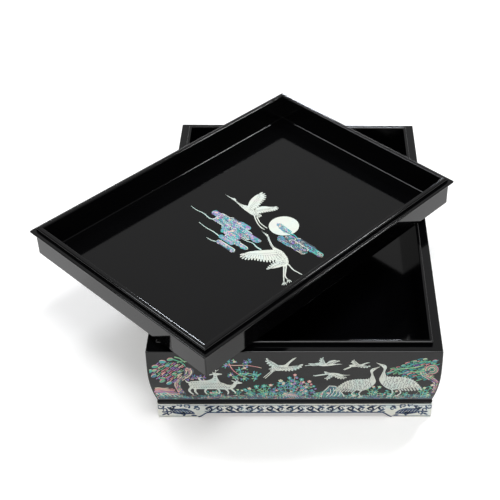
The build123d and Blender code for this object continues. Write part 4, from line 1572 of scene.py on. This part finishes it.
def meadow_plant(seed):
    """Taller plant of the meadow, with leaves in pairs and small flowers, its foot at the origin."""
    dice = random.Random(seed)
    figure = Cutting()
    for lean in (-5.0, 0.5, 6.0):
        tip = (lean + dice.uniform(-1, 1), dice.uniform(9, 14))
        stem = smooth([(0.3 * lean, 0.0), (0.5 * lean, 5.0), tip])
        figure.stroke(stem, 0.7, 0.35, "colour_shell", dice.choice((0.36, 0.42)), 0.0)
        for index, spot in enumerate(along_line(stem, 6)[1:]):
            leaf = shaped(LEAF, spot, polar(spot, 2.6, 30 if index % 2 else 150), 1.1)
            figure.plate(leaf, "colour_shell", dice.choice((0.22, 0.27, 0.32, 0.4, 0.47)), 0.004)
        blossom(figure, tip, dice.uniform(1.4, 2.0), dice.choice((0.62, 0.3, 0.5)), 0.01)
    return figure


def violet_spray(seed):
    """Low spray of blue and violet leaves."""
    dice = random.Random(seed)
    figure = Cutting()
    for u in (-6, -3, 0, 3, 6):
        middle = (u, 2.4 - abs(u) * 0.25)
        leaf_spray(figure, middle, 2.6, 11, (0.12, 0.88, 0.94, 0.98, 0.26, 0.66), dice)
    return figure


# Scenes of the four sides, as in the part's source. Each entry is a figure, its place along the panel and its
# place above the foot, and where they differ from a plain figure's, its size, the way it faces and its turn


def two_pines(run, facing):
    """Pines at both ends of a panel, the second one bent the other way."""
    half = run / 2
    return [
        (pine_trunk, facing * (28 - half), 10.5, 1.0, facing),
        (pine_trunk, facing * (half - 4), 10.5, 1.0, -facing, 6 * facing),
        (pine_crown, facing * (27.5 - half), 12, 1.0, facing),
        (swept_crown, facing * (half - 19), 12, 1.0, facing),
    ]


def front_scene(run):
    """The scene that the photograph shows."""
    left = -run / 2
    right = run / 2
    return {
        "rocks": [
            (layered_rock, left + 13, 8.5),
            (rock, right - 99, 5),
            (layered_rock, -3, 5.5, 0.6),
        ],
        "plants": [
            (blossom_branch, -50, 43),
            (flowering_bush, -4, 7),
            (violet_spray, -90, 33),
            (meadow_plant, -54, 8, 0.8),
            (meadow_plant, -42, 8),
            (meadow_plant, -29, 9, 1.3, -1),
            (meadow_plant, 72, 7, 1.1),
            (meadow_plant, 90, 5, 0.8),
            (meadow_plant, right - 12, 8, 1.2, -1),
        ],
        "pines": two_pines(run, 1),
        "deer": [(deer_looking_up, left + 57, 8), (deer, left + 55, 8)],
        "cranes": [
            (standing_crane, right - 71, 4.5),
            (standing_crane, right - 42.8, 5.0, 1.1, -1),
            (rising_crane, -14, 48),
            (gliding_crane, 27.5, 51.2),
            (climbing_crane, 54, 50),
            (beating_crane, 34.5, 38.4),
        ],
    }


def back_scene(run):
    """The front's scene turned round, with fewer cranes."""
    left = -run / 2
    right = run / 2
    return {
        "rocks": [(layered_rock, right - 13, 8.5, 1.0, -1), (rock, left + 100, 5, 0.9, -1)],
        "plants": [
            (blossom_branch, 50, 43, 1.0, -1),
            (flowering_bush, 6, 7, 1.0, -1),
            (violet_spray, 90, 33, 1.0, -1),
            (meadow_plant, 54, 8, 0.8, -1),
            (meadow_plant, 38, 8, 1.1, -1),
            (meadow_plant, -70, 7, 1.1, -1),
            (meadow_plant, left + 12, 8, 1.2),
        ],
        "pines": two_pines(run, -1),
        "deer": [(deer_looking_up, right - 57, 8, 1.0, -1), (deer, right - 55, 8, 1.0, -1)],
        "cranes": [
            (standing_crane, left + 74, 4.5, 1.05, -1),
            (standing_crane, left + 42, 4.5, 1.1),
            (rising_crane, 16, 47, 1.0, -1),
            (gliding_crane, -24, 52, 0.95, -1),
            (beating_crane, -8, 36, 0.8, -1),
        ],
    }


def long_scene(run):
    """Scene of the two long sides."""
    left = -run / 2
    right = run / 2
    return {
        "rocks": [(layered_rock, left + 13, 8.5), (rock, 30, 5)],
        "plants": [
            (blossom_branch, left + 88, 43, 0.9),
            (flowering_bush, -8, 7, 1.05),
            (flowering_bush, right - 58, 6, 0.8, -1),
            (violet_spray, left + 43, 33),
            (meadow_plant, left + 92, 8),
            (meadow_plant, left + 140, 8, 1.3),
            (meadow_plant, right - 118, 7, 1.2),
            (meadow_plant, right - 14, 8, 1.3, -1),
        ],
        "pines": two_pines(run, 1),
        "deer": [
            (deer_looking_up, left + 60, 8),
            (deer, left + 58, 8),
            (deer, left + 118, 8, 0.9, -1),
        ],
        "cranes": [
            (standing_crane, right - 128, 4.5, 1.05),
            (standing_crane, right - 92, 4.5, 1.12, -1),
            (rising_crane, -26, 48),
            (gliding_crane, 20, 51),
            (beating_crane, 6, 37, 0.9),
            (rising_crane, left + 118, 50, 0.75),
            (climbing_crane, right - 56, 49, 0.9, -1),
        ],
    }


# Layers of a side's scene, from the lowest to the highest, and the slot of each
SLOTS = {
    "rocks": "colour_shell",
    "plants": "colour_shell",
    "pines": "colour_shell",
    "deer": "white_shell",
    "cranes": "white_shell",
}
PLAIN_FIGURES = (
    standing_crane, rising_crane, gliding_crane, climbing_crane, beating_crane, deer, deer_looking_up
)
# Layers whose figures cross each other, and so lie further apart in height
CROSSING = ("deer", "pines")
first_seed = 11
bank_seed = 7
bank_lift = -0.01
figure_lift = 0.004
crossing_lift = 0.03


def make_side_inlays():
    """Shell of the four panels, one piece for each layer of each side."""
    for scene, sides in ((front_scene, ["front"]), (back_scene, ["back"]), (long_scene, ["right", "left"])):
        run, across = side_size(sides[0], box_width, box_depth)
        half = run / 2 - panel_end_margin
        window = (-half, ground_margin, half, body_height - ground_margin)
        layers = scene(run)

        def on_panel(u, v, proud, across=across, half=half):
            """Place on the panel's face. The scene draws in with the panel's ends towards the foot."""
            inset, level = side_spot(body_foot + v, proud)
            return u * (half - max(0.0, inset)) / half, -across / 2 + inset, level

        for layer, (name, slot) in enumerate(SLOTS.items(), 1):
            figure = Cutting()
            lift = crossing_lift if name in CROSSING else figure_lift
            for index, (motif, *placing) in enumerate(layers[name]):
                drawn = motif() if motif in PLAIN_FIGURES else motif(first_seed + index)
                figure.add(drawn, *placing, lift=lift * index)
            if name == "rocks":
                figure.add(bank(run, bank_seed), lift=bank_lift)
            sheet = flat_sheet(figure, window, curved=True)
            proud = ground_proud + step_proud * layer
            for side in sides:
                shell = f"shell_{name}_{side}"
                node = f"inlay_{name}_{side}"
                lay_shell(shell, node, sheet, on_panel, side_matrix(side), proud, "box", slot)


# The tray's shell: two cranes, the moon and clouds, in the tray's own frame


def tray_flying_crane():
    """Crane that flies left over the clouds with its wings up."""
    figure = Cutting()
    for line in (
        [(-8.2, 13.7), (3.7, 6.9), (11.5, 4.7), (16.1, 4.7)],
        [(-7.5, 15.5), (4.2, 9.6), (11.4, 8.2), (16.3, 8.1)],
    ):
        figure.limb(smooth(line), 1.2, 0.8)
    feather_fringe(figure, [(-11, 18), (-12, 14.4)], [(-1.4, 18.2), (-1.6, 15)], 4, 1.7)
    far_lead = [(-23.2, 19), (-28.8, 28.4), (-30.7, 37.9), (-29.4, 46)]
    far_trail = [(-25, 46), (-20.3, 41.8), (-17.6, 33.4), (-12.6, 18)]
    near_lead = [(-16, 19), (-12.9, 29.6), (-6.4, 34.7), (-1.4, 39.3)]
    near_trail = [(1.6, 38.6), (1.6, 34.5), (-1.6, 28.7), (-7.5, 18.6)]
    wing(figure, far_lead, far_trail, count=12, parted=0.6)
    wing(figure, near_lead, near_trail, count=11, parted=0.6)
    rise = 0.008
    head = [(-45.4, 18.5), (-42.4, 19.9), (-38.6, 18.2), (-30.9, 17.6)]
    back = [(-22, 20.4), (-12, 19.6), (-4, 17)]
    belly = [(-8.5, 13.4), (-12.7, 12.7), (-24.3, 13.7)]
    throat = [(-35.5, 16), (-41.3, 16.9), (-46.8, 17.1), (-55.6, 17.7)]
    outline = outline_of(head + back, belly + throat)
    figure.plate(outline, "white_shell", rise=rise)
    scallops(figure, outline, (-29, 16.2), (-8, 16), half_width=3.4, pitch=2.0, weight=0.9)
    neck = [((-40, 18.6), (-40, 16.8)), ((-34, 17.6), (-34, 16.2)), ((-27, 18), (-27, 14.6))]
    neck_lines(figure, neck, (0.3, 0.7), rise)
    engraved_line(figure, [(-54.6, 17.7), (-44.6, 17.9)], rise, 0.5 * engraved)
    eye(figure, (-42.8, 18.5), 0.4, 0.4, corners=12, rise=0.03)
    return figure


def tray_dancing_crane():
    """Crane that dances on one leg with its near wing down."""
    figure = Cutting()
    for line, toes in (
        ([(67.1, -20), (73.7, -27), (80.4, -33.9), (84.6, -38)], (-62, -40, -12)),
        ([(69.1, -18.6), (75.6, -26.4), (80.1, -31.6), (85, -33.4)], (-48, -18, 8)),
    ):
        figure.limb(smooth(line), 1.4, 1.0)
        for degrees in toes:
            toe = [line[-1], polar(line[-1], 2.6, degrees), polar(line[-1], 5.2, degrees - 6)]
            figure.limb(smooth(toe, 3), 1.2, 0.6)
    tail = smooth([(70.2, -17), (78.5, -19.5), (84.8, -19.4), (90.1, -19)])
    figure.limb(tail, 1.3, 0.8)
    far_lead = [(69.6, -17), (67.4, -25), (64.2, -31), (60.2, -36)]
    far_trail = [(58.8, -31), (58.2, -25), (60.6, -17.6)]
    wing(figure, far_lead, far_trail, count=8, parted=1.1)
    near_lead = [(45, -11), (38, -18.8), (32.4, -25.4), (28.6, -31.6), (26.8, -38.6)]
    near_trail = [(30.4, -41.4), (36, -39.6), (41, -35), (47.6, -31.6), (55, -26.4), (64, -14)]
    wing(figure, near_lead, near_trail, count=17, parted=1.8)
    rise = 0.01
    head = [(20.9, 0.9), (23.4, 1.5), (27, -0.4), (34, -4.6)]
    back = [(42.4, -8), (51.6, -7.2), (58.4, -9), (64.8, -11.9), (70, -17), (70.2, -22.6)]
    belly = [(65.6, -23.4), (58, -21.4), (50, -15), (44, -11.6)]
    throat = [(38.5, -9), (31, -5.2), (25.6, -1.6), (22.6, -0.7), (14.7, 1.3)]
    outline = outline_of(head + back, belly + throat)
    figure.plate(outline, "white_shell", rise=rise)
    scallops(figure, outline, (46, -10.6), (67, -18), half_width=5.0, pitch=2.0, weight=0.9)
    neck = [((25.6, 0.2), (24.8, -2)), ((33, -4.6), (32, -7.2)), ((43, -8.2), (42, -11.4))]
    neck_lines(figure, neck, (0.25, 0.5, 0.75), rise)
    engraved_line(figure, [(15.4, 1.2), (21.8, 0.2)], rise, 0.5 * engraved)
    eye(figure, (23, 0.2), 0.4, 0.4, corners=12, rise=0.03)
    return figure


moon_middle = (25.8, 22.4)
moon_radius = 15.3


def moon():
    """Full moon in one round plate."""
    figure = Cutting()
    figure.plate(oval(moon_middle, moon_radius, moon_radius, 0, 48), "white_shell")
    return figure


# Tones of the cells' rims; half sizes of rim and cell and the distance of rows, as shares of the pitch
PEBBLE_RIMS = (0.3, 0.62, 0.9, 0.26)
rim_half_length = 0.5
rim_half_height = 0.3
cell_half_length = 0.38
cell_half_height = 0.2
row_distance = 0.6


def pebbles(figure, outline, pitch, tones, seed, rise, pale_share):
    """Rounded cells of shell set close together over a cloud, each with a rim, which is white on a share."""
    dice = random.Random(seed)
    low_u = min(u for u, v in outline)
    high_u = max(u for u, v in outline)
    low_v = min(v for u, v in outline)
    high_v = max(v for u, v in outline)
    row = 0
    v = low_v
    while v < high_v:
        u = low_u + (0.5 * pitch if row % 2 else 0.0)
        while u < high_u:
            spot = (u + dice.uniform(-0.2, 0.2) * pitch, v + dice.uniform(-0.12, 0.12) * pitch)
            tone = dice.choice(tones)
            if inside(spot, outline):
                tilt = dice.uniform(-18, 18)
                finish = "white_shell" if dice.random() < pale_share else "colour_shell"
                rim = oval(spot, rim_half_length * pitch, rim_half_height * pitch, tilt, 10)
                figure.plate(rim, finish, dice.choice(PEBBLE_RIMS), rise)
                cell = oval(spot, cell_half_length * pitch, cell_half_height * pitch, tilt, 8)
                figure.plate(cell, "colour_shell", tone, rise + 0.01)
            u += pitch
        v += row_distance * pitch
        row += 1


puff_end_steps = 8


def puff_outline(puffs):
    """Outlines of long cloud puffs with round ends."""
    outlines = []
    for u, v, half_length, half_height in puffs:
        ring = []
        straight = half_length - half_height
        for middle, first in (((u + straight, v), -90), ((u - straight, v), 90)):
            for step in range(puff_end_steps + 1):
                ring.append(polar(middle, half_height, first + 180 / puff_end_steps * step))
        outlines.append(ring)
    return outlines


LEFT_CLOUDS = [
    (-34, -10.4, 9.4, 3.2), (-24, -9.4, 11, 3.4), (-12, -7.2, 11, 3.4), (-3, -5.4, 8, 3.2),
    (-18, -14.6, 16, 3.0), (0, -11.6, 13, 3.4), (16, -12.6, 10, 3.0), (-6, -18.6, 14, 3.2),
    (4, -16.4, 12, 2.6), (-4, -23.8, 12, 3.0), (4, -28.0, 10, 2.8), (16, -28.8, 9, 2.4),
    (0, -32.6, 10, 2.4), (6, -39.6, 12, 2.4), (-26, -18.2, 8, 1.6),
]
LEFT_GROUNDS = (0.92, 0.1, 0.06, 0.9, 0.16, 0.2)
LEFT_CELLS = (0.22, 0.25, 0.27, 0.16, 0.66, 0.88, 0.94)
LEFT_STREAKS = [
    [(-66.6, -19.8), (-57.9, -20.4), (-47.5, -19.3), (-37.5, -20.6), (-31.6, -18.2), (-23.4, -18)],
    [(-40.6, -32.2), (-29.4, -33.3), (-18.9, -32.7), (-10, -33.2), (-4, -31)],
    [(-17, -43.4), (-10.3, -43.2), (-5.2, -41.4), (1, -40.7)],
    [(8.8, -20.9), (16.1, -20.1), (22.4, -18.3), (29.3, -19.8), (35.8, -19.7)],
]
puff_gap = 0.5
full_height = 3.0
cloud_step = 0.004


def cloud(puffs, grounds, pitch, tones, seed, pale_share):
    """Cloud of long puffs, each on its own ground, with a pale rim and rounded cells."""
    figure = Cutting()
    bordered = [(u, v, length + puff_gap, height + puff_gap) for u, v, length, height in puffs]
    for index, (outline, border) in enumerate(zip(puff_outline(puffs), puff_outline(bordered))):
        rise = cloud_step * index
        figure.plate(border, "engraving", rise=rise - 0.001)
        figure.plate(outline, "colour_shell", grounds[index % len(grounds)], rise)
        rim = outline[4:15] if index % 2 else outline[9:] + outline[:5]
        figure.stroke(rim, 0.9, 0.6, "white_shell" if index % 3 else "colour_shell", 0.28, rise + 0.001)
        cell = pitch * min(1.0, puffs[index][3] / full_height)
        pebbles(figure, outline, cell, tones, seed + index, rise + 0.002, pale_share)
    return figure


def left_clouds():
    """Cloud bank to the left of the cranes, with long streaks."""
    figure = cloud(LEFT_CLOUDS, LEFT_GROUNDS, pitch=3.9, tones=LEFT_CELLS, seed=0, pale_share=0.55)
    for line in LEFT_STREAKS:
        figure.stroke(smooth(line), 0.5, 1.9, "colour_shell", 0.27, -0.008)
        figure.stroke(smooth(line), 0.4, 1.2, "white_shell", rise=-0.006)
    return figure


RIGHT_CLOUD = [
    (46, 6.6, 12, 3.0), (52, 12.4, 13, 3.6), (62, 15.6, 13, 3.4), (74, 14.4, 12, 2.8),
    (62, 6.0, 9, 2.8), (58, 9.8, 12, 3.0), (44, 3.8, 8, 1.6),
]
RIGHT_GROUNDS = (0.06, -0.05, 0.0, 0.3, -0.06, -0.02, 0.2)
RIGHT_CELLS = (-0.1, -0.06, 0.0, 0.06, 0.98)


def right_cloud():
    """Darker cloud to the right, under the moon."""
    return cloud(RIGHT_CLOUD, RIGHT_GROUNDS, pitch=3.8, tones=RIGHT_CELLS, seed=40, pale_share=0.14)


MOON_CLOUD = [
    (18.1, 20), (21.8, 22.8), (29.6, 22), (37.6, 21.3), (38.7, 18.4), (33.5, 15.2), (24.7, 16.6)
]


def moon_cloud():
    """Small cloud that crosses the moon."""
    figure = Cutting()
    outline = smooth_ring(MOON_CLOUD)
    figure.plate(outline, "colour_shell", 0.2)
    pebbles(figure, outline, 3.0, (0.1, 0.26, 0.3, 0.9, 0.64), seed=60, rise=0.012, pale_share=0.2)
    figure.stroke(smooth([(36.4, 16.6), (43.1, 18.8), (49.5, 17.4)]), 1.6, 1.0, "colour_shell", 0.28, 0.0)
    return figure


def make_tray_inlays():
    """Shell of the tray's floor, one piece for each group of figures."""

    def on_floor(u, v, proud):
        return u, v, tray_floor_thickness + proud

    inner_x = lip_outer_width / 2 - tray_wall_inner - tray_cove
    inner_y = lip_outer_depth / 2 - tray_wall_inner - tray_cove
    window = (-inner_x, -inner_y, inner_x, inner_y)
    for index, (name, figure, slot) in enumerate(
        (
            ("clouds_left", left_clouds(), "colour_shell"),
            ("cloud_right", right_cloud(), "colour_shell"),
            ("moon", moon(), "white_shell"),
            ("moon_cloud", moon_cloud(), "colour_shell"),
            ("crane_dancing", tray_dancing_crane(), "white_shell"),
            ("crane_flying", tray_flying_crane(), "white_shell"),
        )
    ):
        sheet = flat_sheet(figure, window, curved=False)
        proud = ground_proud + step_proud * index
        lay_shell(f"tray_shell_{name}", f"tray_inlay_{name}", sheet, on_floor, tray_pose, proud, "tray", slot)


# The scrolling vine on the plinth

vine_pitch = 18.2
vine_overrun = 8.0
border_width = 1.5
border_inset = 0.9
thin_line = 0.5
foot_line_level = 1.9
foot_line_inset = 0.6
top_line_drop = 1.7
foot_motif_size = 1.12
foot_motif_shift = 1.0
foot_motif_lift = 0.4
scroll_side_margin = 0.2
scroll_foot_margin = 0.25
scroll_top_margin = 0.15
scroll_proud = 0.04
curl_steps = 22
curl_stride = 0.32
curl_tightening = 0.8
foot_veins = 7
ogee_steps = 12


def curl(figure, start, heading, size, turns, first_width, last_width, hand):
    """Spiral tendril from a start point."""
    line = []
    spot = Vector(start)
    angle = math.radians(heading)
    for i in range(curl_steps):
        line.append(tuple(spot))
        share = i / curl_steps
        stride = size * curl_stride * (1 - curl_tightening * share)
        angle += hand * math.radians(turns * 360 / curl_steps)
        spot = spot + Vector((math.cos(angle), math.sin(angle))) * stride
    figure.stroke(line, first_width, last_width, "vine_shell", rise=0.0)


UPPER_VINE_LEAF = [(-8.8, -0.8), (-6.6, 2.4), (-3, 4.3), (1.6, 4.3), (-1, 2.6), (-4.4, 0.8)]
LOWER_VINE_LEAF = [(1.4, -4.6), (4.6, -4.3), (7.8, -2.2), (8.8, -0.4), (5.6, -1.8), (2.8, -3)]
SMALL_VINE_LEAVES = (
    ((-9.2, 4.4), (-5.8, 4.6), 1.9),
    ((5, -0.2), (1.4, 1.6), 1.7),
    ((5.6, -4.6), (9, -4.4), 1.7),
)


def vine_unit():
    """One wave of the vine with its curls and leaves, centred on the band."""
    figure = Cutting()
    half = vine_pitch / 2
    stem = smooth([(-half, -3.2), (-half / 2, -4.0), (0, -0.4), (half / 2, 3.6), (half, 3.2)], 6)
    figure.stroke(stem, 1.1, 1.1, "vine_shell")
    curl(figure, (-4.6, -3.6), heading=6, size=3.6, turns=1.3, first_width=2.2, last_width=1.0, hand=1)
    curl(figure, (4.4, 3.4), heading=196, size=2.9, turns=1.1, first_width=1.8, last_width=0.9, hand=1)
    for leaf in (UPPER_VINE_LEAF, LOWER_VINE_LEAF):
        figure.plate(smooth_ring(leaf, 3), "vine_shell")
    for start, end, width in SMALL_VINE_LEAVES:
        figure.plate(shaped(LEAF, start, end, width), "vine_shell")
    return figure


FOOT_LEAF = [
    (-13, -4), (-11, -0.6), (-5, 2.6), (3, 2.6), (9.6, 4.6),
    (7.6, 0.8), (5.4, -2.8), (-2, -4.6), (-9, -4.2),
]
FOOT_CURLS = (
    ((-8, 3.2), 150, 2.8, -1), ((-1, 5), 165, 2.4, -1), ((5.6, 5.6), 190, 2.2, 1),
    ((12.6, 5.8), 250, 3.0, 1),
    ((14, -1), 230, 2.8, -1), ((8.4, -5), 10, 2.4, 1), ((-13, 2), 80, 2.4, 1),
    ((-3, -6), 180, 2.2, -1),
)
FOOT_LEAFLETS = (
    ((9.6, -2.6), (14.8, -5.6)),
    ((-16.5, 5.4), (-12.4, 4.8)),
    ((-14.6, -6), (-9.6, -5.6)),
    ((2, 6.2), (5, 3.8)),
)


def foot_motif():
    """Long leaf with curls round it, for a bracket foot. Drawn for a right foot, from the foot's middle."""
    figure = Cutting()
    figure.plate(smooth_ring(FOOT_LEAF), "vine_shell")
    for i in range(foot_veins):
        start = (-10.5 + 2.6 * i, -2.8 + 0.2 * i)
        figure.stroke([start, (start[0] + 2.4, start[1] + 2.8)], 0.3, 0.2, "plinth_shell", rise=0.02)
    for start, heading, size, hand in FOOT_CURLS:
        curl(figure, start, heading, size, turns=1.15, first_width=1.7, last_width=0.8, hand=hand)
    for start, end in FOOT_LEAFLETS:
        figure.plate(shaped(LEAF, start, end, 1.9), "vine_shell")
    return figure


def apron_edge(run):
    """Lower edge of the plinth between its feet, with the ogee curves, from left to right."""
    foot = run / 2 - plinth_inset - foot_length
    rise = []
    for i in range(ogee_steps + 1):
        share = i / ogee_steps
        rise.append((-foot + share * foot_curve_length, apron_lift * (3 * share**2 - 2 * share**3)))
    return rise + [(-u, v) for u, v in reversed(rise)]


def make_plinth_scroll():
    """Scroll, borders and foot motifs on the plinth's four facings."""
    for side in SIDES:
        run, across = side_size(side, box_width, box_depth)
        half = run / 2 - plinth_inset
        scroll_length = 2 * (half - foot_length - foot_curve_length) + vine_overrun
        units = max(4, round(scroll_length / vine_pitch))
        pitch = scroll_length / units
        points, faces = repeated_vine(vine_unit(), units, pitch)
        middle = (plinth_height + apron_lift) / 2
        first = -(units - 1) * scroll_length / units / 2
        figure = Cutting()
        figure.pieces.append(
            ([(u + first, v + middle) for u, v in points], faces, "vine_shell", plain_tone, 0.0)
        )
        for facing in (1, -1):
            foot = facing * (half - foot_length / 2 - foot_motif_shift)
            figure.add(foot_motif(), foot, plinth_height / 2 + foot_motif_lift, foot_motif_size, facing)
        edge = [(u, v + border_inset) for u, v in apron_edge(run)]
        figure.stroke(edge, border_width, border_width, "vine_shell")
        for facing in (1, -1):
            outer = (facing * (half - foot_line_inset), foot_line_level)
            inner = (facing * (half - foot_length), foot_line_level)
            figure.stroke([outer, inner], thin_line, thin_line, "vine_shell")
        top = plinth_height - top_line_drop
        figure.stroke([(-half, top), (half, top)], thin_line, thin_line, "vine_shell")
        window = (
            -half + scroll_side_margin,
            scroll_foot_margin,
            half - scroll_side_margin,
            plinth_height - scroll_top_margin,
        )
        sheet = flat_sheet(figure, window, curved=False)

        def on_facing(u, v, proud, across=across):
            return u, -across / 2 + plinth_inset - proud, v

        name = f"plinth_scroll_{side}"
        lay_shell(name, None, sheet, on_facing, side_matrix(side), scroll_proud, "box", "plinth_shell")


# Floor, light and camera

floor_reach = 6.0
floor_glow = 0.35


def make_floor():
    """Pale floor that takes the shadow, and looks a little brighter than it lights the box."""
    mesh = bpy.data.meshes.new("studio_floor")
    corners = [(x * floor_reach, y * floor_reach, 0) for x, y in ((-1, -1), (1, -1), (1, 1), (-1, 1))]
    mesh.from_pydata(corners, [], [(0, 1, 2, 3)])
    floor = bpy.data.objects.new("studio_floor", mesh)
    bpy.context.scene.collection.objects.link(floor)
    finish = Finish("studio_floor")
    seen = finish.step("ShaderNodeLightPath", {}, {}, "Is Camera Ray")
    mirrored = finish.step("ShaderNodeLightPath", {}, {}, "Is Glossy Ray")
    through = finish.step("ShaderNodeLightPath", {}, {}, "Is Transmission Ray")
    shown = seen + mirrored + through
    colour = finish.blend(finish.noise(3.0), (0.80, 0.79, 0.78), (0.82, 0.81, 0.80))
    cloth = finish.step("ShaderNodeBsdfDiffuse", {}, {"Color": colour})
    glow_sockets = {"Color": (1.0, 0.99, 0.98, 1.0), "Strength": shown * floor_glow}
    glow = finish.step("ShaderNodeEmission", {}, glow_sockets)
    total = finish.step("ShaderNodeAddShader", {}, {0: cloth, 1: glow})
    finish.node("ShaderNodeOutputMaterial", {}, {"Surface": total})
    mesh.materials.append(finish.material)


# Greys of the studio's walls at heights from straight down to straight up: beside the box, and behind it
WALLS_BESIDE = ((0.0, 0.50), (0.30, 0.22), (0.55, 0.05), (0.80, 0.16), (1.0, 0.50))
WALLS_BEHIND = ((0.0, 0.62), (0.35, 0.46), (0.80, 0.40), (1.0, 0.50))
BEHIND_THE_BOX = ((0.18, 0.0), (0.52, 1.0))


def greys(stops):
    """Stops of a ramp from plain greys."""
    return [(position, (value,) * 3) for position, value in stops]


def make_world():
    """Studio walls: grey behind the box, dark at its sides, paler near the floor and overhead."""
    world = bpy.data.worlds.new("studio")
    bpy.context.scene.world = world
    studio = Finish("studio", world)
    direction = studio.step("ShaderNodeTexCoord", {}, {}, "Generated")
    parts = studio.node("ShaderNodeSeparateXYZ", {}, {"Vector": direction})
    depth = Wire(studio, parts.outputs["Y"])
    height = Wire(studio, parts.outputs["Z"])
    dark = studio.ramp(height, greys(WALLS_BESIDE))
    pale = studio.ramp(height, greys(WALLS_BEHIND))
    behind = studio.ramp(depth, greys(BEHIND_THE_BOX))
    walls = studio.blend(behind, dark, pale)
    seen = studio.step("ShaderNodeLightPath", {}, {}, "Is Camera Ray")
    colour = studio.blend(seen, walls, (1.0, 1.0, 1.0))
    light = studio.step("ShaderNodeBackground", {}, {"Color": colour, "Strength": 1.0})
    studio.node("ShaderNodeOutputWorld", {}, {"Surface": light})


def soft_light(name, place, aim, size, power, colour):
    """Area lamp at a place, turned to what it lights."""
    lamp = bpy.data.lights.new(name, "AREA")
    lamp.shape = "RECTANGLE"
    lamp.size, lamp.size_y = size
    lamp.energy = power
    lamp.color = colour
    made = bpy.data.objects.new(name, lamp)
    bpy.context.scene.collection.objects.link(made)
    towards = Vector(aim) - Vector(place)
    made.matrix_world = Matrix.Translation(place) @ towards.to_track_quat("-Z", "Y").to_matrix().to_4x4()


# Lamps: name, place and aim in metres, width and height in metres, power in watts, colour
LAMPS = (
    ("key", (-0.84, 0.66, 1.93), (0, 0, 0.1), (0.6, 0.6), 12.0, (0.93, 0.96, 1.0)),
    ("right_strip", (0.99, 0.73, 1.83), (0, 0, 0.1), (0.3, 0.3), 14.0, (0.96, 0.98, 1.0)),
    ("overhead", (0.1, -0.5, 2.0), (0, 0, 0), (0.6, 0.6), 15.5, (0.98, 0.99, 1.0)),
    ("front_fill", (0.1, -2.0, 0.9), (0, 0, 0.05), (1.8, 1.0), 11.0, (1.0, 1.0, 1.0)),
    ("low_back_strip", (0.18, 2.08, 0.68), (0, 0, 0.1), (0.24, 0.34), 17.0, (0.86, 0.92, 1.0)),
)


def make_lights():
    for lamp in LAMPS:
        soft_light(*lamp)


# Camera: its place in metres, its turn, tilt and lean in degrees, and its lens in millimetres
camera_place = (0.00866, -0.8645, 0.7838)
camera_yaw = 1.954
camera_pitch = 37.853
camera_roll = 1.387
lens_length = 78.14
sensor_width = 36.0
lens_shift = (-0.1687, -0.0839)


def make_camera():
    """Camera at the photograph's place and angle."""
    yaw = math.radians(camera_yaw)
    pitch = math.radians(camera_pitch)
    roll = math.radians(camera_roll)
    forward = Vector((math.sin(yaw) * math.cos(pitch), math.cos(yaw) * math.cos(pitch), -math.sin(pitch)))
    right = Vector((math.cos(yaw), -math.sin(yaw), 0))
    up = right.cross(forward)
    level_right = math.cos(roll) * right + math.sin(roll) * up
    level_up = -math.sin(roll) * right + math.cos(roll) * up
    lens = bpy.data.cameras.new("camera")
    lens.lens = lens_length
    lens.sensor_width = sensor_width
    lens.shift_x, lens.shift_y = lens_shift
    camera = bpy.data.objects.new("camera", lens)
    bpy.context.scene.collection.objects.link(camera)
    turned_axes = Matrix((level_right, level_up, -forward)).transposed().to_4x4()
    camera.matrix_world = Matrix.Translation(camera_place) @ turned_axes
    bpy.context.scene.camera = camera


bpy.context.scene.view_settings.view_transform = "Standard"
dress_kept_nodes()
make_boards()
make_side_inlays()
make_tray_inlays()
make_plinth_scroll()
make_floor()
make_world()
make_lights()
make_camera()
